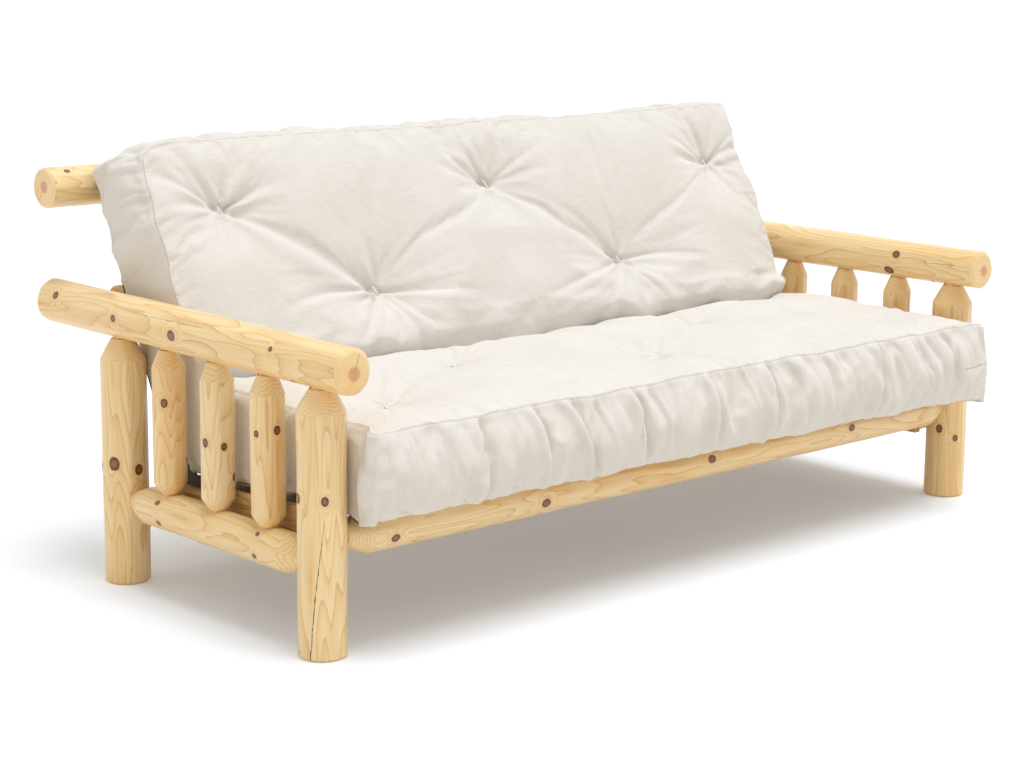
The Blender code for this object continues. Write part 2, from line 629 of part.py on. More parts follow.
def make_rollers(parent, place, steel, nylon):
    """A roller on a headed and shouldered pin at each side's lever."""
    start = GUIDE_OUT + SIDE_PLAY
    shoulder = ROLLER_LENGTH + GAP
    neck = BACK_WEB_OUT - GAP - start
    head = BACK_WEB_IN + GAP - start
    for name, station in SIDES.items():
        spot = place @ inwards_from(station, start, -ROLLER_BACK, -ROLLER_BEHIND)
        ring = [(0, ROLLER_RADIUS), (ROLLER_LENGTH, ROLLER_RADIUS)]
        body = turned(bmesh.new(), ring, LOG_SIDES, bore=ROLLER_PIN_RADIUS + GAP)
        add(f"{name}_roller", body, nylon, parent, spot)
        profile = [(0, ROLLER_PIN_RADIUS), (shoulder, ROLLER_PIN_RADIUS), (shoulder, ROLLER_SPACER_RADIUS),
                   (neck, ROLLER_SPACER_RADIUS), (neck, ROLLER_PIN_RADIUS), (head, ROLLER_PIN_RADIUS),
                   (head, BOLT_HEAD_RADIUS), (head + BOLT_HEAD, BOLT_HEAD_RADIUS)]
        add(f"{name}_roller_pin", turned(bmesh.new(), profile, SPINDLE_SIDES), steel, parent, spot)


def make_back_logs(parent, place, pine, steel):
    """Top log over the arms and cross log between them, bolted to the back rails."""
    cross_half = POST_SPAN_X / 2 - POST_RADIUS - CROSS_LOG_PLAY
    top_half = POST_SPAN_X / 2 + TOP_LOG_OVERHANG
    bottom = WEB_BACK - LOG_BOLT_INTO_LOG
    seat = FLANGE_TOP + GAP
    bolt = [(bottom, BOLT_RADIUS), (seat, BOLT_RADIUS), (seat, BOLT_HEAD_RADIUS),
            (seat + BOLT_HEAD, BOLT_HEAD_RADIUS)]
    hole = [(bottom - GAP, BOLT_RADIUS + GAP), (WEB_BACK + PLATE, BOLT_RADIUS + GAP)]
    for name, radius, along, half in (("top", TOP_LOG_RADIUS, TOP_LOG_ALONG, top_half),
                                      ("cross", CROSS_LOG_RADIUS, CROSS_LOG_ALONG, cross_half)):
        end = [(0, radius - LOG_EASE), (LOG_EASE, radius)]
        profile = end + [(2 * half - z, r) for z, r in reversed(end)]
        spot = along_x(-half, along, WEB_BACK - GAP - radius)
        log = add(f"back_{name}_log", turned(bmesh.new(), profile, LOG_SIDES, spot), pine, parent, place)
        holes = bmesh.new()
        for side, station in STATIONS.items():
            spot = Matrix.Translation((across(station, BOLT_LINE), along, 0))
            turned(holes, hole, SCREW_SIDES, spot)
            add(f"{side}_{name}_log_bolt", turned(bmesh.new(), bolt, SCREW_SIDES, spot), steel, parent, place)
        shape(log, holes, 'DIFFERENCE')


def meeting(seat_level, back_level):
    """Where a plane of the seat half meets one of the back half, as (y, z) from the hinge line."""
    planes = Matrix(((math.sin(SEAT_SLOPE), math.cos(SEAT_SLOPE)),
                     (-math.sin(BACK_ANGLE), math.cos(BACK_ANGLE))))
    return planes.inverted() @ Vector((seat_level, back_level))


def spread(stops, cells):
    """Shares from the first stop to the last, with this many even cells between two of them."""
    shares = [stops[0]]
    for start, end, count in zip(stops, stops[1:], cells):
        shares += [start + (end - start) * k / count for k in range(1, count + 1)]
    return shares


def fold_share(spot, start, end):
    """How strongly the fold between two tufts is felt at a spot, from 0 to 1."""
    run = end - start
    share = min(1, max(0, (spot - start).dot(run) / run.length_squared))
    return math.exp(-((spot - start - share * run).length / VALLEY_WIDTH) ** 2)


def make_cushion(name, parent, place, cotton, ends, levels, half_length, rows, depth):
    """One half of the mattress: pillows between tufts, drawn in at the sides, mitred at the fold.

    ends holds where the fold's foot and crest lie along the deck, levels the heights of the top
    at the fold and at the outer seam, depth how far a tuft lies below the pillows.
    """
    base = SLAT_TOP + GAP
    half_width = POST_SPAN_X / 2 - MATTRESS_SIDE_INSET
    way = math.copysign(1, ends[1])
    foot, crest = (end + way * FOLD_GAP / 2 for end in ends)
    outer = foot + way * half_length
    low_row, high_row = (foot + way * row for row in rows)
    low = [Vector((k * TUFT_PITCH / 2, low_row)) for k in (-1, 1)]
    high = [Vector((k * TUFT_PITCH, high_row)) for k in (-1, 0, 1)]
    folds = [(p, q) for p in low for q in high if (p - q).length < TUFT_PITCH * 0.6]
    seam = outer - way * OUTER_PUFF
    row_shares = [(row - crest) / (seam - crest) for row in (low_row, high_row)]
    shares_along = spread([0, *row_shares, 1], CELLS_ALONG)
    columns = [k * TUFT_PITCH / 2 / half_width for k in (-2, -1, 0, 1, 2)]
    shares_across = spread([-1, *columns, 1], CELLS_ACROSS)
    shares_up = spread([0, 1], [CELLS_UP])

    def surface(a, b, c):
        u, v, w = shares_along[a], shares_across[b], shares_up[c]
        inner = foot + (crest - foot) * w
        swell = math.sin(math.pi * w)
        reach = seam + way * (OUTER_PUFF * swell - DRAW_IN * (1 - v * v))
        along = inner + (reach - inner) * u
        width = half_width + END_PUFF * (swell - 1) - DRAW_IN * math.sin(math.pi * u)
        side = v * (width - CORNER_ROUND * (u * abs(v)) ** CORNER_TIGHTNESS)
        top = levels[0] + (levels[1] - levels[0]) * u
        height = base + (top - base) * w
        if c == CELLS_UP:
            height += CROWN * (1 - v ** CROWN_EDGE) * math.sqrt(max(0, math.sin(math.pi * u)))
            spot = Vector((side, along))
            height -= depth * max(math.exp(-(spot - tuft).length / TUFT_REACH) for tuft in low + high)
            height -= depth * VALLEY_SHARE * max(fold_share(spot, p, q) for p, q in folds)
        return Vector((side, along, height))

    body = bmesh.new()
    counts = (sum(CELLS_ALONG), sum(CELLS_ACROSS), CELLS_UP)
    corners = {}

    def corner(index):
        if index not in corners:
            corners[index] = body.verts.new(surface(*index))
        return corners[index]

    for axis in range(3):
        first, second = [other for other in range(3) if other != axis]
        for wall in (0, counts[axis]):
            for i in range(counts[first]):
                for j in range(counts[second]):
                    loop = []
                    for di, dj in ((0, 0), (1, 0), (1, 1), (0, 1)):
                        index = [0, 0, 0]
                        index[axis] = wall
                        index[first] = i + di
                        index[second] = j + dj
                        loop.append(corner(tuple(index)))
                    body.faces.new(loop)
    bmesh.ops.triangulate(body, faces=body.faces)
    add(name, body, cotton, parent, place)


def make_mattress(seat, seat_place, back, back_place, cotton):
    """Both halves of the mattress, parted along the fold."""
    base = SLAT_TOP + GAP
    foot = meeting(base, base)
    crest = meeting(base + SEAT_FOLD_THICKNESS, base + BACK_FOLD_THICKNESS)

    def along(point, angle):
        return point.x * math.cos(angle) + point.y * math.sin(angle)
    make_cushion("seat_mattress", seat, seat_place, cotton,
                 [along(p, -SEAT_SLOPE) for p in (foot, crest)],
                 (base + SEAT_FOLD_THICKNESS, base + MATTRESS_EDGE), SEAT_HALF, SEAT_TUFT_ROWS,
                 SEAT_TUFT_DEPTH)
    make_cushion("back_mattress", back, back_place, cotton,
                 [along(p, BACK_ANGLE) for p in (foot, crest)],
                 (base + BACK_FOLD_THICKNESS, base + MATTRESS_EDGE), BACK_HALF, BACK_TUFT_ROWS,
                 BACK_TUFT_DEPTH)


def footprint_middle():
    """Middle of the whole object along Y, measured over every piece that is part of it."""
    bpy.context.view_layer.update()
    graph = bpy.context.evaluated_depsgraph_get()
    reach = []
    for piece in bpy.context.scene.objects:
        if piece.type == 'MESH' and not piece.hide_render:
            solid = piece.evaluated_get(graph)
            reach += [(solid.matrix_world @ Vector(corner)).y for corner in solid.bound_box]
    return (min(reach) + max(reach)) / 2


def main():
    for piece in list(bpy.data.objects):
        bpy.data.objects.remove(piece, do_unlink=True)
    pine = finish("peeled_pine", (0.83, 0.61, 0.31), 0.38)
    board = finish("pine_board", (0.68, 0.46, 0.24), 0.55)
    steel = finish("dark_steel", (0.045, 0.042, 0.038), 0.45, 1.0)
    zinc = finish("plated_steel", (0.55, 0.55, 0.53), 0.35, 1.0)
    nylon = finish("black_nylon", (0.03, 0.03, 0.03), 0.5)
    cotton = finish("natural_cotton", (0.87, 0.83, 0.78), 0.9)

    frame = axis_empty("frame", None, Matrix())
    centre = seat_centre()
    tilt = Matrix.Rotation(-SEAT_SLOPE, 4, 'X')
    seat = axis_empty("seat_glide_axis", frame, Matrix.Translation((0, centre.x, centre.y)) @ tilt)
    reach = Matrix.Rotation(SEAT_SLOPE, 2) @ (Vector((HINGE_Y, HINGE_Z)) - centre)
    on_seat = Matrix.Translation((0, reach.x, reach.y))
    fold = Matrix.Rotation(SEAT_SLOPE + BACK_ANGLE, 4, 'X')
    back = axis_empty("back_fold_axis", seat, on_seat @ fold)
    on_back = Matrix()

    make_posts(frame, pine)
    make_arms(frame, pine)
    make_side_rails(frame, pine)
    make_spindles(frame, pine)
    make_long_rails(frame, pine)
    make_ledgers(frame, board)
    make_guides(frame, steel)
    make_side_screws(frame, zinc)
    make_seat_rails(seat, on_seat, steel)
    make_slats(seat, on_seat, board, "seat", -SEAT_FIRST_SLAT, -SEAT_SLAT_PITCH)
    make_hinge_pins(seat, on_seat, zinc)
    make_back_rails(back, on_back, steel)
    make_slats(back, on_back, board, "back", BACK_FIRST_SLAT, BACK_SLAT_PITCH)
    make_rollers(back, on_back, zinc, nylon)
    make_back_logs(back, on_back, pine, zinc)
    make_mattress(seat, on_seat, back, on_back, cotton)
    frame.location.y -= footprint_middle()
    bpy.context.view_layer.update()


main()
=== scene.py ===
"""Looks of the log futon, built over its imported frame.

Peeled logs stand for the turned solids, one tufted mattress stands for its two halves, and the
boards and steel of the folding deck get their finishes. Metres, +Z up, -Y to the front.
"""

import json
import math

import bmesh
import bpy
import numpy as np
from bpy.props import FloatProperty, FloatVectorProperty, IntProperty, PointerProperty
from bpy.types import Operator, Panel, PropertyGroup
from mathutils import Euler, Matrix, Vector, noise


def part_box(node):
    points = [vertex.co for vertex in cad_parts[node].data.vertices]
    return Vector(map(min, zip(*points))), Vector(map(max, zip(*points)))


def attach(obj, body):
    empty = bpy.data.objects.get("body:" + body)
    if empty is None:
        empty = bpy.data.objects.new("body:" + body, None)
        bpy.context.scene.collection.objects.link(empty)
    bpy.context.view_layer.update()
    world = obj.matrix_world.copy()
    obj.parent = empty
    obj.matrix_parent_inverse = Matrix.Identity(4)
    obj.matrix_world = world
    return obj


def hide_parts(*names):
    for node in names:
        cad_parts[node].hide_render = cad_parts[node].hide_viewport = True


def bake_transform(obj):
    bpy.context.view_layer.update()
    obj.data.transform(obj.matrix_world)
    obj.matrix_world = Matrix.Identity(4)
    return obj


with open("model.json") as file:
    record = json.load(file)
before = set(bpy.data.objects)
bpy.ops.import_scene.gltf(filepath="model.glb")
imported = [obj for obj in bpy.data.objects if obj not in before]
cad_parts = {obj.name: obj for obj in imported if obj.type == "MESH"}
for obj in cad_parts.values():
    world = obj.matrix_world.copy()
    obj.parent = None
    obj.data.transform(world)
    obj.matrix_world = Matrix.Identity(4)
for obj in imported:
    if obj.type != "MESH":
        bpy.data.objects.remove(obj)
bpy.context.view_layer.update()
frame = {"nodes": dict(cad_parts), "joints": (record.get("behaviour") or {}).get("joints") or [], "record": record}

bl_info = {
    "name": "Log Futon",
    "version": (1, 0, 0),
    "blender": (4, 5, 0),
    "location": "View3D > Sidebar > Futon",
    "description": "Dresses the packed log futon and sets its studio",
    "category": "Object",
}

JOINTS = {joint["name"]: joint for joint in frame["joints"]}
HINGE = Vector(JOINTS["back_fold"]["pos_m"])
SEAT_SLOPE = math.radians(JOINTS["seat_glide"]["range_deg"][1])
BACK_ANGLE = math.radians(JOINTS["back_fold"]["range_deg"][1]) - SEAT_SLOPE

# Logs by the way they are shaped
LOG_KINDS = {
    "post": ["front_left_post", "front_right_post", "rear_left_post", "rear_right_post"],
    "arm": ["left_arm", "right_arm"],
    "rail": ["left_lower_rail", "right_lower_rail", "front_rail", "rear_rail"],
    "spindle": [f"{side}_spindle_{n}" for side in ("left", "right") for n in (1, 2, 3)],
    "plain": ["back_top_log", "back_cross_log"],
}

# Knots that show from the front: along the log from its lower, front or left end in metres, turn
# about it in degrees, and radius in millimetres
KNOTS = {
    "front_left_post": [(0.33, -121, 8), (0.33, 165, 9)],
    "rear_left_post": [(0.275, -151, 13), (0.26, -88, 10), (0.265, 160, 7)],
    "left_spindle_1": [(0.237, -167, 6), (0.245, -96, 8)],
    "left_spindle_2": [(0.187, -170, 8), (0.18, -104, 7)],
    "left_spindle_3": [(0.244, -141, 8)],
    "left_lower_rail": [(0.52, -143, 6), (0.51, 157, 7), (0.165, -135, 5), (0.165, 160, 6)],
    "left_arm": [(1.0, -150, 8), (0.76, -172, 7), (0.54, 180, 11), (0.2, -155, 5)],
    "front_rail": [(0.145, -162, 9), (0.56, -166, 10), (1.08, 173, 10), (1.58, 172, 9)],
    "front_right_post": [(0.18, -164, 9), (0.157, -116, 7)],
    "right_arm": [(0.243, -157, 9), (0.267, 147, 12)],
    "back_top_log": [(0.045, 126, 6)],
}

# Drying checks: half width in millimetres, then points of (along, turn)
CHECKS = {
    "front_left_post": (1.5, [(0.30, -121), (0.22, -132), (0.13, -145), (0.0, -158)]),
    "rear_left_post": (0.6, [(0.12, -113), (0.0, -116)]),
    "left_arm": (0.6, [(0.44, -143), (0.62, -147), (0.74, -143)]),
    "right_arm": (0.7, [(0.05, -165), (0.11, -168), (0.18, -169)]),
}


class LogSettings(PropertyGroup):
    """Sizes of the joinery and of the marks that peeling leaves."""
    tenon: FloatProperty(name="Tenon radius", description="Of posts and rails",
                         default=0.019, unit='LENGTH')
    spindle_tenon: FloatProperty(name="Spindle tenon radius", description="Of spindles",
                                 default=0.016, unit='LENGTH')
    rail_tenon_depth: FloatProperty(name="Rail tenon", description="Length of a rail's tenon",
                                    default=0.042, unit='LENGTH')
    spindle_tenon_depth: FloatProperty(name="Spindle tenon", description="Length of its lower tenon",
                                       default=0.040, unit='LENGTH')
    post_taper: FloatProperty(name="Post cone", description="Height of the cone under the arm",
                              default=0.046, unit='LENGTH')
    post_neck: FloatProperty(name="Post neck", description="Radius at the top of the cone",
                             default=0.025, unit='LENGTH')
    rail_taper: FloatProperty(name="Rail cone", description="Length of a rail's coned end",
                              default=0.052, unit='LENGTH')
    rail_neck: FloatProperty(name="Rail neck", description="Radius at a rail's post",
                             default=0.023, unit='LENGTH')
    spindle_top_taper: FloatProperty(name="Spindle cone", description="Height of its upper cone",
                                     default=0.038, unit='LENGTH')
    spindle_foot_taper: FloatProperty(name="Spindle foot", description="Height of its lower cone",
                                      default=0.024, unit='LENGTH')
    spindle_neck: FloatProperty(name="Spindle neck", description="Radius at the arm",
                                default=0.0205, unit='LENGTH')
    cone_curve: FloatProperty(name="Cone curve", description="How late a coned end narrows",
                              default=1.08)
    ease: FloatProperty(name="Eased edge", description="Bevel of a sawn end",
                        default=0.005, unit='LENGTH')
    rear_round: FloatProperty(name="Arm's rounded end", description="Rounding of the rear end",
                              default=0.026, unit='LENGTH')
    front_bevel: FloatProperty(name="Arm's bevel", description="Bevel of the front end of an arm",
                               default=0.009, unit='LENGTH')
    arm_reach: FloatProperty(name="Left arm's reach", description="Front end standing past its solid",
                             default=0.014, unit='LENGTH')
    arm_rise: FloatProperty(name="Arm's crown", description="How much fuller an arm is above its axis",
                            default=0.12, subtype='FACTOR')
    facet: FloatProperty(name="Draw-knife flats", description="Share of the way to a flat-sided log",
                         default=0.42, subtype='FACTOR')
    flats: IntProperty(name="Flats", description="Number of knife flats round a log", default=9)
    wander: FloatProperty(name="Unevenness", description="Rise and fall of the peeled surface",
                          default=0.0011, unit='LENGTH')
    sides: IntProperty(name="Sides", description="Faces round a log", default=72)
    step: FloatProperty(name="Step", description="Length of a face along a log",
                        default=0.008, unit='LENGTH')


class MattressSettings(PropertyGroup):
    """Sizes of the mattress and of its tufting."""
    deck_level: FloatProperty(name="Deck level", description="Top of the slats over the hinge line",
                              default=0.0203, unit='LENGTH')
    edge: FloatProperty(name="Edge thickness", description="Height of the boxing at the outer seams",
                        default=0.164, unit='LENGTH')
    seat_fold: FloatProperty(name="Seat at the fold", description="Thickness of the seat at the fold",
                             default=0.203, unit='LENGTH')
    back_fold: FloatProperty(name="Back at the fold", description="Thickness of the back at the fold",
                             default=0.160, unit='LENGTH')
    seat_length: FloatProperty(name="Seat half", description="Along the deck from the fold",
                               default=0.685, unit='LENGTH')
    back_length: FloatProperty(name="Back half", description="Along the deck from the fold",
                               default=0.704, unit='LENGTH')
    front_puff: FloatProperty(name="Front puff", description="Bulge of the front boxing",
                              default=0.008, unit='LENGTH')
    top_puff: FloatProperty(name="Top puff", description="Bulge of the boxing along the top",
                            default=0.022, unit='LENGTH')
    end_puff: FloatProperty(name="End puff", description="Bulge of the boxing at both ends",
                            default=0.010, unit='LENGTH')
    seam_wave: FloatProperty(name="Seam wave", description="Unevenness of the sewn edges",
                             default=0.006, unit='LENGTH')
    seed: IntProperty(name="Seed", description="Chooses where the sewn edges rise and fall", default=4)
    crown: FloatProperty(name="Crown", description="Rise of the top between its seams",
                         default=0.012, unit='LENGTH')
    lip: FloatProperty(name="Fold lip", description="Rounding of the back at the fold; the seat has less",
                       default=0.044, unit='LENGTH')
    overhang: FloatProperty(name="Overhang", description="Bulge of the back over the fold",
                            default=0.026, unit='LENGTH')
    tuft_pitch: FloatProperty(name="Tuft pitch", description="Across the mattress",
                              default=0.785, unit='LENGTH')
    back_tuft: FloatProperty(name="Back tufts", description="Depth of a tuft in the back half",
                             default=0.026, unit='LENGTH')
    seat_tuft: FloatProperty(name="Seat tufts", description="Depth of a tuft in the seat half",
                             default=0.014, unit='LENGTH')
    tuft_reach: FloatProperty(name="Tuft reach", description="How far a tuft draws the cloth down",
                              default=0.060, unit='LENGTH')
    valley: FloatProperty(name="Valley", description="Depth of the hollow between two tufts",
                          default=0.006, unit='LENGTH')
    valley_width: FloatProperty(name="Valley width", description="Half width of that hollow",
                                default=0.030, unit='LENGTH')
    crease: FloatProperty(name="Crease", description="Depth of the folds that run from a tuft",
                          default=0.0115, unit='LENGTH')
    gather: FloatProperty(name="Gather", description="Height of the gathers along a seam",
                          default=0.017, unit='LENGTH')
    droop: FloatProperty(name="Front droop", description="Front boxing hanging past the deck",
                         default=0.026, unit='LENGTH')
    wrap: FloatProperty(name="End wrap", description="End boxing reaching behind the back deck",
                        default=0.043, unit='LENGTH')
    end_reach: FloatProperty(name="End reach", description="Ends standing out past the deck",
                             default=0.014, unit='LENGTH')
    clear: FloatProperty(name="Clear of the posts", description="Part of the back that folds between them",
                         default=0.44, unit='LENGTH')
    lean: FloatProperty(name="Lean", description="How far the middle of the back is drawn to the left",
                        default=0.034, unit='LENGTH')
    short_end: FloatProperty(name="Short end", description="How far the right end lies inside the deck",
                             default=0.027, unit='LENGTH')
    tuck: FloatProperty(name="Tuck", description="How far the front boxing rolls under at its foot",
                        default=0.018, unit='LENGTH')
    cell: FloatProperty(name="Cell", description="Length of a face before subdivision",
                        default=0.0094, unit='LENGTH')
    slack: FloatProperty(name="Slack", description="Spare cloth in the boxing",
                         default=0.08, subtype='FACTOR')
    top_slack: FloatProperty(name="Top slack", description="Spare cloth in the top",
                             default=0.012, subtype='FACTOR')
    pressure: FloatProperty(name="Pressure", description="Push of the filling", default=3.5)
    cap: FloatProperty(name="Most swelling", description="Farthest that a point may move",
                       default=0.030, unit='LENGTH')


class StageSettings(PropertyGroup):
    """Where the camera stands."""
    camera: FloatVectorProperty(name="Camera", description="Place of the camera", subtype='TRANSLATION',
                                unit='LENGTH', default=(-3.6784, -3.8712, 1.4466))
    yaw: FloatProperty(name="Yaw", description="Turn from +Y towards +X", unit='ROTATION',
                       default=math.radians(42.61))
    pitch: FloatProperty(name="Pitch", description="Look downwards", unit='ROTATION',
                         default=math.radians(11.57))
    roll: FloatProperty(name="Roll", description="Tilt of the frame", unit='ROTATION',
                        default=math.radians(0.57))
    lens: FloatProperty(name="Lens", description="Focal length on a 36 mm sensor",
                        default=79.75, unit='CAMERA')


def linear(code, alpha=1.0):
    """Linear colour of an sRGB hex value."""
    shares = [int(code[k:k + 2], 16) / 255 for k in (1, 3, 5)]
    return (*[s / 12.92 if s <= 0.04045 else ((s + 0.055) / 1.055) ** 2.4 for s in shares], alpha)


def per(millimetres):
    """Texture scale whose features repeat about once in this length."""
    return 1000.0 / millimetres


def put(tree, kind, inputs=(), stops=(), **settings):
    """Add a node, with its settings, its sockets' values or links and, on a ramp, its stops."""
    node = tree.nodes.new(kind)
    for name, value in settings.items():
        setattr(node, name, value)
    for key, value in dict(inputs).items():
        if isinstance(value, bpy.types.NodeSocket):
            tree.links.new(value, node.inputs[key])
        else:
            node.inputs[key].default_value = value
    if stops:
        elements = node.color_ramp.elements
        while len(elements) < len(stops):
            elements.new(1.0)
        for element, (position, code) in zip(elements, stops):
            element.position = position
            element.color = linear(code)
    return node


def start_material(name):
    """A new material, its tree and its Principled shader."""
    material = bpy.data.materials.new(name)
    material.use_nodes = True
    return material, material.node_tree, material.node_tree.nodes["Principled BSDF"]


def peeled_pine():
    """Peeled pine under clear satin lacquer.

    The eye gets pale straw sapwood; amber ring lines that run long on the round and crowd together
    where a cone or a sawn end cuts across the rings; red-brown knots; drying checks in painted shade.
    """
    material, tree, shader = start_material("peeled_pine")
    place = put(tree, "ShaderNodeAttribute", attribute_name="grain").outputs["Vector"]
    along = put(tree, "ShaderNodeVectorMath", {0: place, 1: (0, 0, 1)}, operation='MULTIPLY').outputs[0]
    drift = put(tree, "ShaderNodeTexNoise", {"Vector": along, "Scale": per(420), "Detail": 1.0})
    pith = put(tree, "ShaderNodeVectorMath", {0: drift.outputs["Color"], 1: (0.030, 0.030, 0),
                                              2: (-0.015, -0.015, 0)}, operation='MULTIPLY_ADD')
    flat = put(tree, "ShaderNodeVectorMath", {0: place, 1: (1, 1, 0), 2: pith.outputs[0]},
               operation='MULTIPLY_ADD')
    radius = put(tree, "ShaderNodeVectorMath", {0: flat.outputs[0]}, operation='LENGTH').outputs["Value"]

    # Rings bend along the log and swerve round each knot
    long_way = put(tree, "ShaderNodeVectorMath", {0: place, 1: (1, 1, 0.07)}, operation='MULTIPLY').outputs[0]
    bend = put(tree, "ShaderNodeTexNoise", {"Vector": long_way, "Scale": per(42), "Detail": 1.0,
                                            "Roughness": 0.35}).outputs["Fac"]
    knot = put(tree, "ShaderNodeAttribute", attribute_name="knot").outputs["Vector"]
    knot_parts = put(tree, "ShaderNodeSeparateXYZ", {0: knot})
    knot_flat = put(tree, "ShaderNodeVectorMath", {0: knot, 1: (1, 0.78, 0)}, operation='MULTIPLY')
    knot_reach = put(tree, "ShaderNodeVectorMath", {0: knot_flat.outputs[0]}, operation='LENGTH')
    away = put(tree, "ShaderNodeMath", {0: knot_reach.outputs["Value"], 1: knot_parts.outputs["Z"]},
               operation='DIVIDE').outputs[0]
    swerve = put(tree, "ShaderNodeMapRange", {0: away, 1: 0.8, 2: 3.0, 3: 0.0035, 4: 0.0},
                 interpolation_type='SMOOTHSTEP').outputs[0]
    bent = put(tree, "ShaderNodeMath", {0: bend, 1: 0.021, 2: radius}, operation='MULTIPLY_ADD').outputs[0]
    ring = put(tree, "ShaderNodeMath", {0: bent, 1: swerve}, operation='ADD').outputs[0]
    count = put(tree, "ShaderNodeMath", {0: ring, 1: per(3.1)}, operation='MULTIPLY').outputs[0]
    phase = put(tree, "ShaderNodeMath", {0: count}, operation='FRACT').outputs[0]
    rings = put(tree, "ShaderNodeValToRGB", {0: phase}, stops=[
        (0.0, "#F8E6BF"), (0.5, "#F7E2B6"), (0.84, "#F1D5A1"), (0.95, "#E2BC84"), (1.0, "#F6E1B6")])

    # Broad tints and fine fibres
    tint = put(tree, "ShaderNodeTexNoise", {"Vector": long_way, "Scale": per(95), "Detail": 2.0})
    tints = put(tree, "ShaderNodeValToRGB", {0: tint.outputs["Fac"]}, stops=[
        (0.3, "#FFFCF2"), (0.48, "#FFF5DE"), (0.62, "#FAE3B8"), (0.8, "#F0C88C")])
    toned = put(tree, "ShaderNodeMix", {0: 0.75, 6: rings.outputs[0], 7: tints.outputs[0]},
                data_type='RGBA', blend_type='MULTIPLY').outputs[2]
    thread = put(tree, "ShaderNodeVectorMath", {0: place, 1: (1, 1, 0.025)}, operation='MULTIPLY').outputs[0]
    fibre = put(tree, "ShaderNodeTexNoise", {"Vector": thread, "Scale": per(2.4), "Detail": 3.0}).outputs["Fac"]
    fibre_tone = put(tree, "ShaderNodeMapRange", {0: fibre, 1: 0.35, 2: 0.7, 3: 0.0, 4: 0.3}).outputs[0]
    grained = put(tree, "ShaderNodeMix", {0: fibre_tone, 6: toned, 7: linear("#D9A864")},
                  data_type='RGBA').outputs[2]

    # Pink heart, which shows on the sawn ends
    core = put(tree, "ShaderNodeMath", {0: bend, 1: 0.016, 2: radius}, operation='MULTIPLY_ADD').outputs[0]
    heart = put(tree, "ShaderNodeMapRange", {0: core, 1: 0.018, 2: 0.025, 3: 0.75, 4: 0.0},
                interpolation_type='SMOOTHSTEP').outputs[0]
    hearted = put(tree, "ShaderNodeMix", {0: heart, 6: grained, 7: linear("#CF8A5E")},
                  data_type='RGBA').outputs[2]

    # Knots: resin halo, dark rim and red-brown middle
    halo = put(tree, "ShaderNodeMapRange", {0: away, 1: 1.0, 2: 2.2, 3: 0.3, 4: 0.0},
               interpolation_type='SMOOTHSTEP').outputs[0]
    haloed = put(tree, "ShaderNodeMix", {0: halo, 6: hearted, 7: linear("#DDB577")},
                 data_type='RGBA').outputs[2]
    mottle = put(tree, "ShaderNodeTexNoise", {"Vector": place, "Scale": per(6), "Detail": 3.0}).outputs["Fac"]
    knot_way = put(tree, "ShaderNodeMath", {0: mottle, 1: 0.7, 2: away}, operation='MULTIPLY_ADD').outputs[0]
    knot_tone = put(tree, "ShaderNodeValToRGB", {0: knot_way}, stops=[
        (0.3, "#B87842"), (0.45, "#8F4C1F"), (0.8, "#9C5826"), (1.0, "#6E3712"), (1.0, "#552A0D")])
    knotted_share = put(tree, "ShaderNodeMapRange", {0: away, 1: 0.86, 2: 1.08, 3: 1.0, 4: 0.0},
                        interpolation_type='SMOOTHSTEP').outputs[0]
    knotted = put(tree, "ShaderNodeMix", {0: knotted_share, 6: haloed, 7: knot_tone.outputs[0]},
                  data_type='RGBA').outputs[2]

    # Checks: splits whose width comes and goes, painted dark for the shade inside them
    split = put(tree, "ShaderNodeAttribute", attribute_name="split").outputs["Vector"]
    split_parts = put(tree, "ShaderNodeSeparateXYZ", {0: split})
    ragged = put(tree, "ShaderNodeTexNoise", {"Vector": along, "Scale": per(14), "Detail": 3.0}).outputs["Fac"]
    ragged_width = put(tree, "ShaderNodeMapRange", {0: ragged, 1: 0.35, 2: 0.65, 3: 0.25, 4: 1.15}).outputs[0]
    half = put(tree, "ShaderNodeMath", {0: split_parts.outputs["Y"], 1: ragged_width},
               operation='MULTIPLY').outputs[0]
    aside = put(tree, "ShaderNodeMath", {0: split_parts.outputs["X"]}, operation='ABSOLUTE').outputs[0]
    inside = put(tree, "ShaderNodeMath", {0: half, 1: aside}, operation='SUBTRACT').outputs[0]
    split_shade_share = put(tree, "ShaderNodeMapRange", {0: inside, 1: -0.0002, 2: 0.0003, 3: 0.0, 4: 1.0},
                     interpolation_type='SMOOTHSTEP').outputs[0]
    # Painted shade: inside a split the colour goes to a near-black brown, standing for the shade in the crack
    colour = put(tree, "ShaderNodeMix", {0: split_shade_share, 6: knotted, 7: linear("#2E1B0E")},
                 data_type='RGBA').outputs[2]
    tree.links.new(colour, shader.inputs["Base Color"])

    gloss = put(tree, "ShaderNodeMapRange", {0: fibre, 1: 0.3, 2: 0.7, 3: 0.36, 4: 0.5}).outputs[0]
    tree.links.new(gloss, shader.inputs["Roughness"])
    raised = put(tree, "ShaderNodeMath", {0: phase, 1: 0.25, 2: fibre}, operation='MULTIPLY_ADD').outputs[0]
    sunk = put(tree, "ShaderNodeMath", {0: split_shade_share, 1: -5.0, 2: raised}, operation='MULTIPLY_ADD').outputs[0]
    bump = put(tree, "ShaderNodeBump", {"Strength": 0.35, "Distance": 0.0008, "Height": sunk})
    tree.links.new(bump.outputs[0], shader.inputs["Normal"])
    shader.inputs["Coat Weight"].default_value = 0.4
    shader.inputs["Coat Roughness"].default_value = 0.3
    return material


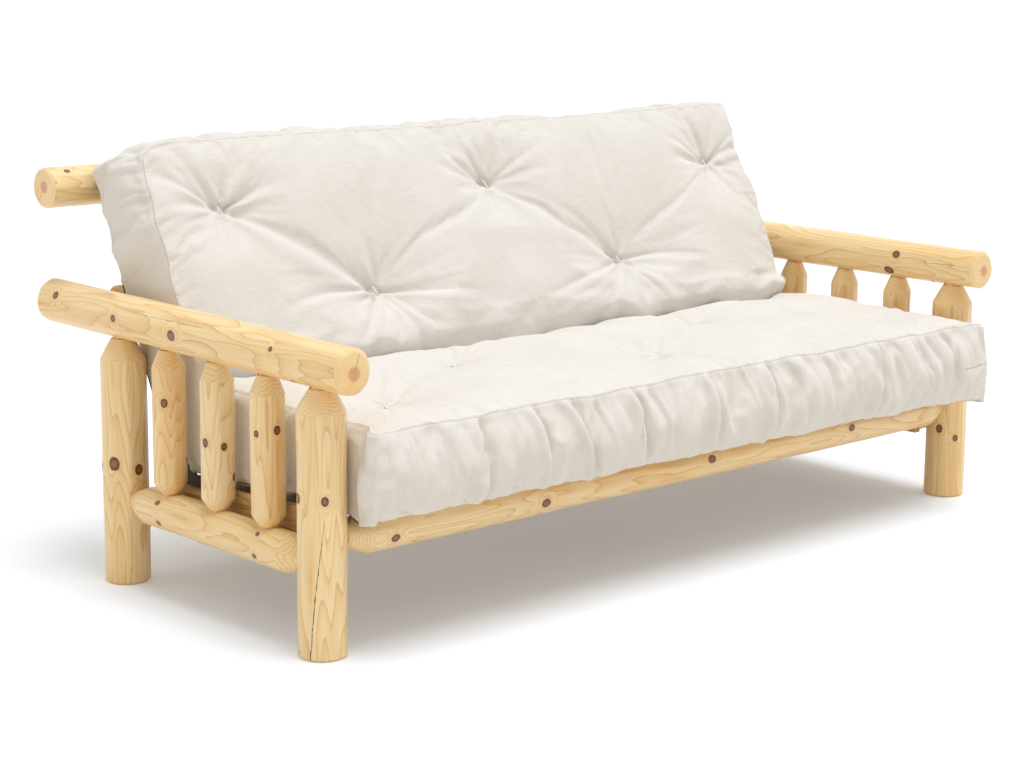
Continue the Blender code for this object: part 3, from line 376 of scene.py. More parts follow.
def planed_pine(name, run):
    """Planed pine board, unfinished: flat-sawn arches of amber rings along the board, no gloss.

    run is the board's long direction as a vector of shares along X and Y.
    """
    material, tree, shader = start_material(name)
    place = put(tree, "ShaderNodeTexCoord").outputs["Object"]
    squeeze = tuple(1.0 - 0.93 * share for share in run)
    grain = put(tree, "ShaderNodeVectorMath", {0: place, 1: squeeze}, operation='MULTIPLY').outputs[0]
    warp = put(tree, "ShaderNodeTexNoise", {"Vector": grain, "Scale": per(55), "Detail": 2.0}).outputs["Fac"]
    count = put(tree, "ShaderNodeMath", {0: warp, 1: 9.0}, operation='MULTIPLY').outputs[0]
    phase = put(tree, "ShaderNodeMath", {0: count}, operation='FRACT').outputs[0]
    rings = put(tree, "ShaderNodeValToRGB", {0: phase}, stops=[
        (0.0, "#E3C48F"), (0.55, "#DDBB83"), (0.9, "#BF9257"), (1.0, "#DFBF89")])
    thread = put(tree, "ShaderNodeVectorMath", {0: place, 1: tuple(1.0 - 0.985 * share for share in run)},
                 operation='MULTIPLY').outputs[0]
    fibre = put(tree, "ShaderNodeTexNoise", {"Vector": thread, "Scale": per(2.0), "Detail": 3.0}).outputs["Fac"]
    share = put(tree, "ShaderNodeMapRange", {0: fibre, 1: 0.35, 2: 0.7, 3: 0.0, 4: 0.3}).outputs[0]
    colour = put(tree, "ShaderNodeMix", {0: share, 6: rings.outputs[0], 7: linear("#B78A50")},
                 data_type='RGBA').outputs[2]
    tree.links.new(colour, shader.inputs["Base Color"])
    rough = put(tree, "ShaderNodeMapRange", {0: fibre, 1: 0.3, 2: 0.7, 3: 0.5, 4: 0.68}).outputs[0]
    tree.links.new(rough, shader.inputs["Roughness"])
    bump = put(tree, "ShaderNodeBump", {"Strength": 0.3, "Distance": 0.0005, "Height": fibre})
    tree.links.new(bump.outputs[0], shader.inputs["Normal"])
    return material


def painted_steel():
    """Mild steel under dark grey satin paint: near black, a soft sheen and a faint orange peel."""
    material, tree, shader = start_material("painted_steel")
    place = put(tree, "ShaderNodeTexCoord").outputs["Object"]
    cloud = put(tree, "ShaderNodeTexNoise", {"Vector": place, "Scale": per(60), "Detail": 4.0}).outputs["Fac"]
    tone = put(tree, "ShaderNodeValToRGB", {0: cloud}, stops=[(0.35, "#37352F"), (0.65, "#45423B")])
    tree.links.new(tone.outputs[0], shader.inputs["Base Color"])
    peel = put(tree, "ShaderNodeTexNoise", {"Vector": place, "Scale": per(1.6), "Detail": 1.0}).outputs["Fac"]
    rough = put(tree, "ShaderNodeMapRange", {0: cloud, 1: 0.3, 2: 0.7, 3: 0.38, 4: 0.52}).outputs[0]
    tree.links.new(rough, shader.inputs["Roughness"])
    bump = put(tree, "ShaderNodeBump", {"Strength": 0.15, "Distance": 0.0002, "Height": peel})
    tree.links.new(bump.outputs[0], shader.inputs["Normal"])
    return material


def zinc_plate():
    """Zinc plated steel: bright grey with a slightly blotched, satin gloss."""
    material, tree, shader = start_material("zinc_plated_steel")
    place = put(tree, "ShaderNodeTexCoord").outputs["Object"]
    spangle = put(tree, "ShaderNodeTexNoise", {"Vector": place, "Scale": per(4), "Detail": 3.0}).outputs["Fac"]
    tone = put(tree, "ShaderNodeValToRGB", {0: spangle}, stops=[(0.35, "#AEADA6"), (0.65, "#C7C6BE")])
    tree.links.new(tone.outputs[0], shader.inputs["Base Color"])
    rough = put(tree, "ShaderNodeMapRange", {0: spangle, 1: 0.3, 2: 0.7, 3: 0.25, 4: 0.42}).outputs[0]
    tree.links.new(rough, shader.inputs["Roughness"])
    shader.inputs["Metallic"].default_value = 1.0
    return material


def turned_nylon():
    """Black nylon, turned: matt, with fine tool rings about the roller's axis."""
    material, tree, shader = start_material("turned_nylon")
    place = put(tree, "ShaderNodeTexCoord").outputs["Object"]
    tool = put(tree, "ShaderNodeTexNoise", {"Vector": place, "Scale": per(0.8), "Detail": 2.0}).outputs["Fac"]
    tone = put(tree, "ShaderNodeValToRGB", {0: tool}, stops=[(0.3, "#1B1B1B"), (0.7, "#262626")])
    tree.links.new(tone.outputs[0], shader.inputs["Base Color"])
    rough = put(tree, "ShaderNodeMapRange", {0: tool, 1: 0.3, 2: 0.7, 3: 0.42, 4: 0.6}).outputs[0]
    tree.links.new(rough, shader.inputs["Roughness"])
    return material


def cotton_twill():
    """Unbleached cotton twill: warm off-white, faint slubs and seed flecks, a soft crumple.

    The twill's diagonal is under a millimetre, too fine to show, so it is drawn at 2.2 mm.
    """
    material, tree, shader = start_material("cotton_twill")
    cloth = put(tree, "ShaderNodeUVMap", uv_map="cloth").outputs[0]
    slub_way = put(tree, "ShaderNodeVectorMath", {0: cloth, 1: (1, 0.12, 1)}, operation='MULTIPLY').outputs[0]
    slub = put(tree, "ShaderNodeTexNoise", {"Vector": slub_way, "Scale": per(5), "Detail": 3.0}).outputs["Fac"]
    cloud = put(tree, "ShaderNodeTexNoise", {"Vector": cloth, "Scale": per(130), "Detail": 3.0}).outputs["Fac"]
    tone = put(tree, "ShaderNodeValToRGB", {0: cloud}, stops=[(0.3, "#DEDAD4"), (0.7, "#E4E0DB")])
    slub_share = put(tree, "ShaderNodeMapRange", {0: slub, 1: 0.5, 2: 0.75, 3: 0.0, 4: 0.35}).outputs[0]
    slubbed = put(tree, "ShaderNodeMix", {0: slub_share, 6: tone.outputs[0], 7: linear("#D3CBBF")},
                  data_type='RGBA').outputs[2]
    seed = put(tree, "ShaderNodeTexVoronoi", {"Vector": cloth, "Scale": per(16)}).outputs["Distance"]
    seed_share = put(tree, "ShaderNodeMapRange", {0: seed, 1: 0.03, 2: 0.06, 3: 0.35, 4: 0.0}).outputs[0]
    colour = put(tree, "ShaderNodeMix", {0: seed_share, 6: slubbed, 7: linear("#B9AA8F")},
                 data_type='RGBA').outputs[2]
    # Painted shade: within a millimetre or so of each seam the cloth is drawn darker, for the shade in the seam's
    # groove
    seam = put(tree, "ShaderNodeAttribute", attribute_name="seam").outputs["Fac"]
    seam_shade_share = put(tree, "ShaderNodeMapRange", {0: seam, 1: 0.0005, 2: 0.0016, 3: 0.5, 4: 0.0}).outputs[0]
    seam_shaded = put(tree, "ShaderNodeMix", {0: seam_shade_share, 6: colour, 7: linear("#8F8070")},
                 data_type='RGBA').outputs[2]
    tree.links.new(seam_shaded, shader.inputs["Base Color"])
    twill = put(tree, "ShaderNodeTexWave", {"Vector": cloth, "Scale": per(2.2) / 20, "Distortion": 0.6},
                bands_direction='DIAGONAL').outputs["Fac"]
    crumple = put(tree, "ShaderNodeTexNoise", {"Vector": cloth, "Scale": per(28), "Detail": 3.0,
                                               "Roughness": 0.55}).outputs["Fac"]
    weave = put(tree, "ShaderNodeBump", {"Strength": 0.12, "Distance": 0.0004, "Height": twill})
    creased = put(tree, "ShaderNodeBump", {"Strength": 0.35, "Distance": 0.006, "Height": crumple,
                                           "Normal": weave.outputs[0]})
    tree.links.new(creased.outputs[0], shader.inputs["Normal"])
    shader.inputs["Roughness"].default_value = 0.9
    shader.inputs["Specular IOR Level"].default_value = 0.2
    shader.inputs["Sheen Weight"].default_value = 0.15
    shader.inputs["Sheen Roughness"].default_value = 0.5
    return material


def cotton_thread():
    """Twisted cotton thread: a touch paler than the cloth, with the light and dark of its twist."""
    material, tree, shader = start_material("cotton_thread")
    place = put(tree, "ShaderNodeTexCoord").outputs["Object"]
    twist = put(tree, "ShaderNodeTexNoise", {"Vector": place, "Scale": per(1.5), "Detail": 1.0}).outputs["Fac"]
    tone = put(tree, "ShaderNodeValToRGB", {0: twist}, stops=[(0.3, "#E9E3D8"), (0.7, "#FBF9F5")])
    tree.links.new(tone.outputs[0], shader.inputs["Base Color"])
    shader.inputs["Roughness"].default_value = 0.75
    return material


def new_piece(name, points, faces, material):
    """A smooth mesh object in the scene."""
    mesh = bpy.data.meshes.new(name)
    mesh.from_pydata([tuple(p) for p in points], [], faces)
    mesh.validate()
    mesh.shade_smooth()
    mesh.materials.append(material)
    piece = bpy.data.objects.new(name, mesh)
    bpy.context.scene.collection.objects.link(piece)
    return piece


def cone(start, end, wide, narrow, curve, steps=8):
    """Profile points of a coned end, from its wide start to its narrow end."""
    shares = [k / steps for k in range(steps + 1)]
    return [(start + (end - start) * u, wide + (narrow - wide) * u ** curve) for u in shares]


def log_profile(kind, node, low, length, radius, s):
    """Outline of a log as (along, radius) pairs from its lower, front or left end."""
    eased = [(0.0, radius - s.ease), (s.ease, radius)]
    if kind == "plain":
        return eased + [(length - t, r) for t, r in reversed(eased)]
    if kind == "arm":
        turns = [math.pi / 2 * k / 8 for k in range(9)]
        edge = s.rear_round
        start = -s.arm_reach if node == "left_arm" else 0.0
        eased = [(start, radius - s.front_bevel), (start + 0.8 * s.front_bevel, radius)]
        return eased + [(length - edge * (1 - math.sin(a)), radius - edge * (1 - math.cos(a))) for a in turns]
    if kind == "rail":
        end = [(0.0, s.tenon), (s.rail_tenon_depth, s.tenon)]
        end += cone(s.rail_tenon_depth + s.rail_taper, s.rail_tenon_depth, radius, s.rail_neck,
                    s.cone_curve)[::-1]
        return end + [(length - t, r) for t, r in reversed(end)]
    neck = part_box("left_arm")[0].z - low
    if kind == "post":
        top = cone(neck - s.post_taper, neck, radius, s.post_neck, s.cone_curve)
        return eased + top + [(neck, s.tenon), (length, s.tenon)]
    foot = s.spindle_tenon_depth
    lower = cone(foot + s.spindle_foot_taper, foot, radius, s.spindle_neck, s.cone_curve)[::-1]
    upper = cone(neck - s.spindle_top_taper, neck, radius, s.spindle_neck, s.cone_curve)
    ends = (s.spindle_tenon, s.spindle_tenon)
    return [(0.0, ends[0]), (foot, ends[0])] + lower + upper + [(neck, ends[1]), (length, ends[1])]


def fine_stops(profile, step):
    """Profile points with more set between them wherever two lie farther apart than a step."""
    stops = [profile[0]]
    for (t0, r0), (t1, r1) in zip(profile, profile[1:]):
        parts = max(1, math.ceil(math.hypot(t1 - t0, r1 - r0) / step))
        stops += [(t0 + (t1 - t0) * k / parts, r0 + (r1 - r0) * k / parts) for k in range(1, parts + 1)]
    return stops


def scattered_knots(number, length, radius, taken):
    """More knots for the sides that the front view hides, in the loose whorls that branches leave."""
    chance = np.random.default_rng(100 + number)
    found = list(taken)
    for whorl in np.arange(0.14, length - 0.1, 0.24):
        for _ in range(2):
            t = whorl + chance.uniform(-0.03, 0.03)
            turn = chance.uniform(-75, 125)
            size = chance.uniform(4.5, 9.5)
            if all(abs(t - k[0]) > 0.06 or abs((turn - k[1] + 180) % 360 - 180) > 50 for k in found):
                found.append((t, turn, size))
    return found


def wrapped_turn(angle):
    """An angle brought into the half turn either side of nought."""
    return (angle + math.pi) % math.tau - math.pi


def make_log(kind, node, number, material, s):
    """One peeled log in place of a turned solid, with the marks that its pine needs."""
    low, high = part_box(node)
    size = high - low
    axis = max(range(3), key=lambda k: size[k])
    length = size[axis]
    radius = min(size[k] for k in range(3) if k != axis) / 2
    middle = (low + high) / 2
    middle[axis] = low[axis]
    frames = {0: ((0, 1, 0), (0, 0, 1), (1, 0, 0)), 1: ((1, 0, 0), (0, 0, -1), (0, 1, 0)),
              2: ((1, 0, 0), (0, 1, 0), (0, 0, 1))}
    turn = Matrix(frames[axis]).transposed()
    stops = fine_stops(log_profile(kind, node, low.z, length, radius, s), s.step)
    knots = scattered_knots(number, length, radius, KNOTS.get(node, []))
    # A knot's mark ends short of its neighbours', so that no two run together
    reaches = []
    for at, where, wide in knots:
        gaps = [math.hypot(at - t, wrapped_turn(math.radians(where - other)) * radius)
                for t, other, _ in knots if (t, other) != (at, where)]
        reaches.append(min([0.0048 * wide] + [0.47 * gap for gap in gaps]))
    width, path = CHECKS.get(node, (0.0, [(0.0, 0.0), (1e-3, 0.0)]))
    path = sorted(path)
    chance = np.random.default_rng(number)
    first_flat = chance.uniform(0, math.tau)
    flat = math.tau / s.flats

    points, grain, knot_marks, splits = [], [], [], []

    def mark(x, y, t, angle, arc, sawn):
        """Store what the pine needs to know at a point: its place in the log, knots and checks."""
        grain.append((x, y, t + 3.7 * number))
        near = (9.0, 9.0, 1.0)
        for (at, where, wide), reach in zip(knots, reaches):
            off = wrapped_turn(angle - math.radians(where)) * arc
            rise = t - at
            if not sawn and math.hypot(off, rise) < reach:
                near = (off, rise, 0.001 * wide)
        knot_marks.append(near)
        split = (1.0, 0.0, 0.0)
        if sawn:
            way = first_flat
            across = -x * math.sin(way) + y * math.cos(way)
            ahead = x * math.cos(way) + y * math.sin(way)
            split = (across, 0.0006 if 0.002 < ahead else 0.0, 0.0)
        elif path[0][0] <= t <= path[-1][0] and width:
            line = np.interp(t, [p[0] for p in path], [p[1] for p in path])
            wave = 0.0015 * noise.noise(Vector((t * 40, number, 0)))
            off = wrapped_turn(angle - math.radians(line)) * arc + wave
            share = (t - path[0][0]) / (path[-1][0] - path[0][0])
            split = (off, 0.001 * width * (1 - share) ** 0.4 if abs(off) < 0.02 else 0.0, 0.0)
        splits.append(split)

    for t, r in stops:
        body = min(1.0, max(0.0, (r - 0.6 * radius) / (0.4 * radius)))
        for k in range(s.sides):
            angle = math.tau * k / s.sides
            turn_flat = (angle + first_flat + 0.5 * noise.noise(Vector((t * 2.2, 7.0 * number, 1)))) % flat
            planed = math.cos(flat / 2) / math.cos(turn_flat - flat / 2)
            rough = noise.noise(Vector((2 * math.cos(angle), 2 * math.sin(angle), t * 6 + 3.7 * number)))
            grown = 0.0
            for at, where, wide in knots:
                off = wrapped_turn(angle - math.radians(where)) * r
                grown += 0.0011 * math.exp(-(off * off + (t - at) ** 2) / (0.0022 * wide) ** 2)
            wide = r * (1 + body * s.facet * (planed - 1)) + body * (s.wander * rough + grown)
            x, y = wide * math.cos(angle), wide * math.sin(angle)
            if kind == "arm" and y < 0:
                y *= 1 + s.arm_rise * (1 + 0.8 * t / length)
            points.append((x, y, t))
            mark(x, y, t, angle, radius, False)
    faces = []
    for row in range(len(stops) - 1):
        for k in range(s.sides):
            n = (k + 1) % s.sides
            base, top = row * s.sides, (row + 1) * s.sides
            faces.append((base + k, base + n, top + n, top + k))
    for row, outward in ((0, -1), (len(stops) - 1, 1)):
        ring = [row * s.sides + k for k in range(s.sides)]
        for share in (0.985, 0.66, 0.33):
            inner = []
            for k in range(s.sides):
                px, py, pz = points[row * s.sides + k]
                inner.append(len(points))
                points.append((px * share, py * share, pz))
                mark(px * share, py * share, pz, 0.0, radius, True)
            for k in range(s.sides):
                n = (k + 1) % s.sides
                quad = (ring[k], ring[n], inner[n], inner[k])
                faces.append(quad if outward > 0 else quad[::-1])
            ring = inner
        faces.append(ring if outward > 0 else ring[::-1])
    place = Matrix.Translation(middle) @ turn.to_4x4()
    piece = new_piece(node + "_peeled", [place @ Vector(p) for p in points], faces, material)
    piece.data.set_sharp_from_angle(angle=math.radians(40))
    for name, values in (("grain", grain), ("knot", knot_marks), ("split", splits)):
        piece.data.attributes.new(name, 'FLOAT_VECTOR', 'POINT').data.foreach_set(
            "vector", np.array(values, np.float32).ravel())
    body = next(b for b, nodes in frame["record"]["behaviour"]["bodies"].items() if node in nodes)
    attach(piece, body)
    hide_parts(node)


class FUTON_OT_logs(Operator):
    """Put peeled logs in place of the turned posts, arms, rails, spindles and back logs"""
    bl_idname = "futon.logs"
    bl_label = "Peeled logs"

    def execute(self, context):
        pine = peeled_pine()
        number = 0
        for kind, nodes in LOG_KINDS.items():
            for node in nodes:
                number += 1
                make_log(kind, node, number, pine, context.scene.futon_logs)
        return {'FINISHED'}


class FUTON_OT_deck(Operator):
    """Finish the slats, ledgers, rails, hinges, guides and rollers of the folding deck"""
    bl_idname = "futon.deck"
    bl_label = "Deck and fittings"

    def execute(self, context):
        slot_of = {part["node"]: part["material_slot"] for part in frame["record"]["subparts"]}
        finishes = {"dark_steel": painted_steel(), "plated_steel": zinc_plate(), "black_nylon": turned_nylon()}
        across, endwise = planed_pine("planed_pine_slat", (1, 0, 0)), planed_pine("planed_pine_ledger", (0, 1, 0))
        for node, piece in frame["nodes"].items():
            finish = finishes.get(slot_of[node])
            if slot_of[node] == "pine_board":
                finish = endwise if "ledger" in node else across
            if finish:
                piece.data.materials.clear()
                piece.data.materials.append(finish)
        return {'FINISHED'}


def fold_frame(half):
    """Direction along the deck away from the fold, and the way up from it, of one half."""
    if half == "seat":
        return (Vector((0, -math.cos(SEAT_SLOPE), math.sin(SEAT_SLOPE))),
                Vector((0, math.sin(SEAT_SLOPE), math.cos(SEAT_SLOPE))))
    return (Vector((0, math.cos(BACK_ANGLE), math.sin(BACK_ANGLE))),
            Vector((0, -math.sin(BACK_ANGLE), math.cos(BACK_ANGLE))))


def fold_meeting(seat_level, back_level):
    """Where a plane over the seat meets one over the back, as distances along each half."""
    (seat_way, seat_up), (back_way, back_up) = fold_frame("seat"), fold_frame("back")
    planes = Matrix(((seat_up.y, seat_up.z), (back_up.y, back_up.z)))
    spot = planes.inverted() @ Vector((seat_level, back_level))
    spot = Vector((0, spot.x, spot.y))
    return spot.dot(seat_way), spot.dot(back_way)


def tuft_places(m, half, foot):
    """Tufts of one half as (along the deck, across), in staggered rows."""
    rows = (0.240, 0.475) if half == "seat" else (0.311, 0.541)
    drawn = m.lean if half == "back" else 0.0
    low = [(foot + rows[0], m.tuft_pitch * (k + 0.5) - drawn) for k in (-1, 0)]
    high = [(foot + rows[1], m.tuft_pitch * k) for k in (-1, 0, 1)]
    return low, high


# Left end of the back from the fold to the top, and the share of the wrap that the cloth has there
WRAP_AT = (0.05, 0.145, 0.50, 0.63, 0.76, 1)
WRAP_SHARE = (0, 1.10, 1.15, 1.08, 0.76, 0.72)


class Shell:
    """The mattress as the skin of a block of cells: along it, across it and up through it."""

    def __init__(self, m):
        self.m = m
        noise.seed_set(m.seed)
        base = m.deck_level
        self.base = base
        self.foot = dict(zip(("seat", "back"), fold_meeting(base, base)))
        self.crest = dict(zip(("seat", "back"), fold_meeting(base + m.seat_fold, base + m.back_fold)))
        self.length = {"seat": m.seat_length, "back": m.back_length}
        low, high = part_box("seat_mattress")
        self.half_width = (high.x - low.x) / 2
        self.deck_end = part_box("back_slat_1")[1].x
        self.cells = [round(self.length["seat"] / m.cell), round(self.length["back"] / m.cell),
                      round(2 * self.half_width / m.cell), round(m.edge / m.cell)]
        self.counts = (self.cells[0] + self.cells[1], self.cells[2], self.cells[3])
        self.tufts = {half: tuft_places(m, half, self.foot[half]) for half in ("seat", "back")}

    def dip(self, half, along, side):
        """How far the tufts and the valleys between them draw the top down at a place."""
        m = self.m
        low, high = self.tufts[half]
        depth = m.seat_tuft if half == "seat" else m.back_tuft
        spot = Vector((along, side))
        deep = 0.0
        for tuft in low + high:
            deep = max(deep, depth * math.exp(-(spot - Vector(tuft)).length / m.tuft_reach))
        for a in low:
            for b in high:
                start, run = Vector(a), Vector(b) - Vector(a)
                if run.length > 0.6 * m.tuft_pitch:
                    continue
                share = min(1, max(0, (spot - start).dot(run) / run.length_squared))
                off = (spot - start - share * run).length
                hold = 1 - 0.55 * math.sin(math.pi * share)
                deep += m.valley * depth / m.back_tuft * hold * math.exp(-(off / m.valley_width) ** 2)
        return deep

    def place(self, a, b, c):
        """Start place of a lattice corner."""
        m = self.m
        half = "seat" if a <= self.cells[0] else "back"
        u = 1 - a / self.cells[0] if half == "seat" else (a - self.cells[0]) / self.cells[1]
        v = 2 * b / self.counts[1] - 1
        w = c / self.counts[2]
        foot, crest = self.foot[half], self.crest[half]
        fold = m.seat_fold if half == "seat" else m.back_fold
        top = fold + (m.edge - fold) * u
        length = self.length[half]
        near = u * length
        lip = m.lip if half == "back" else 0.35 * m.lip
        if c == self.counts[2] and near < lip:
            w -= (lip - math.sqrt(lip ** 2 - (lip - near) ** 2)) / top
        inner = foot + (crest - foot) * w
        round_off = math.sin(math.pi * w)
        puff = m.front_puff if half == "seat" else m.top_puff
        outer = foot + length - 0.006 * (1 - v * v) + puff * round_off * (1 - v ** 12)
        last = self.counts[1]
        free = min(1, max(0, 6 * u - 3.2 if half == "back" else 16 * u - 14.2))
        hang = (1 - w) ** 1.5
        height = self.base + top * w
        corner = (u * abs(v)) ** 16
        reach = self.half_width + m.end_puff * round_off
        if half == "seat":
            hung = min(1, max(0, 10 * u - 7.8))
            if a == 0 or b in (0, last):
                drop = m.droop * (1 + 0.25 * v) + (0.020 if v > 0 else 0.004) * v ** 24
                if b == 0:
                    drop += 0.013 * min(1, 9 * (1 - u))
                height -= drop * hang * hung
            if a == 0:
                outer -= m.tuck * (1 - w) ** 4
            reach += (0.044 - 0.010 * w if v > 0 else 0.026) * free - 0.010 * corner * w
            beyond = min(1, max(0, 20 * u - 17.4))
            if b in (0, last) and hung:
                flap = self.deck_end + 0.005 + 0.006 * beyond
                reach += (max(reach, flap) - reach) * min(1, max(0, 1.5 - 2.5 * w))
            shift = -m.short_end * max(0, v) ** 6 * (1 - u) ** 2
        else:
            low = min(1, 3.3 * u) * min(1, max(0, 2.5 - 3.3 * u))
            wrapped = u > 0.05
            if v < 0:
                reach += m.end_reach * free - 0.012 * corner * w
                outer += 0.014 * (1 - w) * v ** 8 - 0.028 * max(0, (-v - 0.91) / 0.09) ** 2 * w
            if b == 0:
                height -= m.wrap * np.interp(u, WRAP_AT, WRAP_SHARE) * hang
            if v < 0 and b in (0, 1) and wrapped:
                flap = self.deck_end + 0.005
                reach += (max(reach, flap) - reach) * min(1, max(0, 1.5 - 2.5 * w))
            shift = -m.lean * low * (1 - v ** 6) - m.short_end * max(0, v) ** 6 * (1 + 0.5 * free)
            shift -= 0.016 * max(0, -v) ** 6 * low * w + 0.022 * max(0, v) ** 6 * max(0, 1 - 3 * u)
            height -= 0.010 * max(0, -v) ** 8 * low * w
            if c == self.counts[2]:
                height += m.overhang * math.exp(-((near - 0.042) / 0.030) ** 2)
        along = inner + (outer - inner) * u
        side = v * reach + shift
        if half == "seat" and b in (1, last - 1) and c == 0 and hung:
            side = math.copysign(self.deck_end + 0.004 + 0.004 * beyond, v)
            height += 0.012
        if half == "back" and b == 1 and c == 0 and wrapped:
            side = -(self.deck_end + 0.004 + (m.end_reach - 0.012) * free)
            height += 0.012
        if c == self.counts[2]:
            height += m.crown * (1 - v ** 4) * math.sin(math.pi * u) - self.dip(half, along, side)
        elif c == 0 and 0 < u < 1:
            height += 0.3 * self.dip(half, along, side)
        way, up = fold_frame(half)
        spot = HINGE + way * along + up * height + Vector((side, 0, 0))
        if c or a == 0:
            wave = m.seam_wave * (1 + 1.5 * math.exp(-near / 0.08)) * (0.4 if a == self.counts[0] else 1)
            spot += wave * noise.noise_vector(9 * spot)
        return spot

    def build(self, material):
        """Mesh of the skin with its cloth coordinates; keeps the number of each corner."""
        corners, points, faces, cloth = {}, [], [], []

        def corner(index):
            if index not in corners:
                corners[index] = len(points)
                points.append(self.place(*index))
            return corners[index]

        for axis in range(3):
            first, second = [k for k in range(3) if k != axis]
            for wall in (0, self.counts[axis]):
                for i in range(self.counts[first]):
                    for j in range(self.counts[second]):
                        loop = []
                        for di, dj in ((0, 0), (1, 0), (1, 1), (0, 1)):
                            index = [0, 0, 0]
                            index[axis], index[first], index[second] = wall, i + di, j + dj
                            loop.append(tuple(index))
                        flip = (wall == 0) != (axis != 1)
                        loop = loop[::-1] if flip else loop
                        faces.append([corner(index) for index in loop])
                        shift = 0.37 * (2 * axis + bool(wall))
                        cloth += [(index[first] * self.m.cell + shift, index[second] * self.m.cell)
                                  for index in loop]
        piece = new_piece("futon_mattress", points, faces, material)
        piece.data.attributes.new("lattice", 'FLOAT_VECTOR', 'POINT').data.foreach_set(
            "vector", np.array(list(corners), np.float32).ravel())
        layer = piece.data.uv_layers.new(name="cloth")
        layer.data.foreach_set("uv", np.array(cloth, np.float32).ravel())
        self.corners = corners
        return piece


def coordinates(mesh):
    """Vertex places of a mesh as rows."""
    values = np.zeros(3 * len(mesh.vertices), np.float32)
    mesh.vertices.foreach_get("co", values)
    return values.reshape(-1, 3).astype(float)


def inflate(piece, shell):
    """Fill the mattress: its slack cloth swells between the held tufts, fold and underside."""
    m = shell.m
    start = coordinates(piece.data)
    pins = piece.vertex_groups.new(name="held")
    taut = piece.vertex_groups.new(name="taut")
    na, nb, nc = shell.counts
    for (a, b, c), number in shell.corners.items():
        half = "seat" if a <= shell.cells[0] else "back"
        sewn = (a in (0, na)) + (b in (0, nb)) + (c == nc) >= 2
        if c == 0 or sewn or (c == nc and a == shell.cells[0]):
            pins.add([number], 1.0, 'REPLACE')
        if c == nc:
            rim = min(a, na - a, b, nb - b) * m.cell
            taut.add([number], min(1.0, 0.4 + rim / 0.1), 'REPLACE')
            way, _ = fold_frame(half)
            along = (Vector(start[number]) - HINGE).dot(way)
            for tuft in shell.tufts[half][0] + shell.tufts[half][1]:
                if math.hypot(along - tuft[0], start[number][0] - tuft[1]) < 0.8 * m.cell:
                    pins.add([number], 1.0, 'REPLACE')
    cloth = piece.modifiers.new("filling", 'CLOTH')
    settings = cloth.settings
    settings.quality = 4
    settings.mass = 0.3
    settings.tension_stiffness = settings.compression_stiffness = 20
    settings.shear_stiffness = 8
    settings.bending_stiffness = 0.4
    settings.air_damping = 2
    settings.vertex_group_mass = "held"
    settings.use_pressure = True
    settings.uniform_pressure_force = m.pressure
    settings.vertex_group_shrink = "taut"
    settings.shrink_min = -m.slack
    settings.shrink_max = -m.top_slack
    settings.effector_weights.gravity = 0
    cloth.collision_settings.use_collision = False
    scene = bpy.context.scene
    for number in range(1, 21):
        scene.frame_set(number)
    graph = bpy.context.evaluated_depsgraph_get()
    end = coordinates(piece.evaluated_get(graph).data)
    piece.modifiers.remove(cloth)
    scene.frame_set(1)
    move = end - start
    reach = np.linalg.norm(move, axis=1, keepdims=True)
    capped = start + move * np.minimum(1, m.cap / np.maximum(reach, 1e-9))
    piece.data.vertices.foreach_set("co", capped.astype(np.float32).ravel())
    piece.data.update()


def refine(piece):
    """Apply one level of subdivision."""
    smooth = piece.modifiers.new("smooth", 'SUBSURF')
    smooth.levels = smooth.render_levels = 1
    graph = bpy.context.evaluated_depsgraph_get()
    fine = bpy.data.meshes.new_from_object(piece.evaluated_get(graph))
    piece.modifiers.clear()
    piece.data = fine


def gathers(seed, length, places, wide=0.045):
    """Rounded puckers between sharp valleys at uneven spaces along a seam, from 0 to 1."""
    chance = np.random.default_rng(seed)
    valleys = np.cumsum(chance.uniform(0.25, 1.75, int(length / wide) + 14) * wide) - 3 * wide
    heights = chance.uniform(0.1, 1.0, len(valleys))
    which = np.clip(np.searchsorted(valleys, places) - 1, 0, len(valleys) - 2)
    share = (places - valleys[which]) / (valleys[which + 1] - valleys[which])
    return heights[which] * np.sin(math.pi * np.clip(share, 0, 1) ** 0.75) ** 0.8


def fold_line(x, y, start, end, bow, width, depth, both):
    """A fold of the cloth between two places: a sharp valley with a soft ridge along one side.

    It is deepest at its start, and at its end too where both ends are tufts.
    """
    run = np.subtract(end, start)
    length = math.hypot(*run)
    ahead = ((x - start[0]) * run[0] + (y - start[1]) * run[1]) / length
    off = ((y - start[1]) * run[0] - (x - start[0]) * run[1]) / length
    share = np.clip(ahead / length, 0, 1)
    off = off + bow * length * np.sin(math.pi * share)
    side = math.copysign(1, run[0] if abs(run[0]) > abs(run[1]) else run[1]) * off
    wide = width * (0.55 + 1.1 * np.sin(math.pi * share) if both else 0.55 + 0.9 * share)
    hold = 1 - 0.45 * np.sin(math.pi * share) if both else (1 - share) ** 0.8
    valley = np.exp(-np.abs(side / wide) ** 1.5)
    ridge = np.exp(-((side + 2.1 * wide) / (1.3 * wide)) ** 2)
    begin = np.clip(ahead / 0.010, 0, 1) * (np.clip((length - ahead) / 0.010, 0, 1) if both else 1)
    inside = (ahead > 0) & (ahead < length)
    return np.where(inside, depth * hold * begin * (valley - 0.55 * ridge), 0)


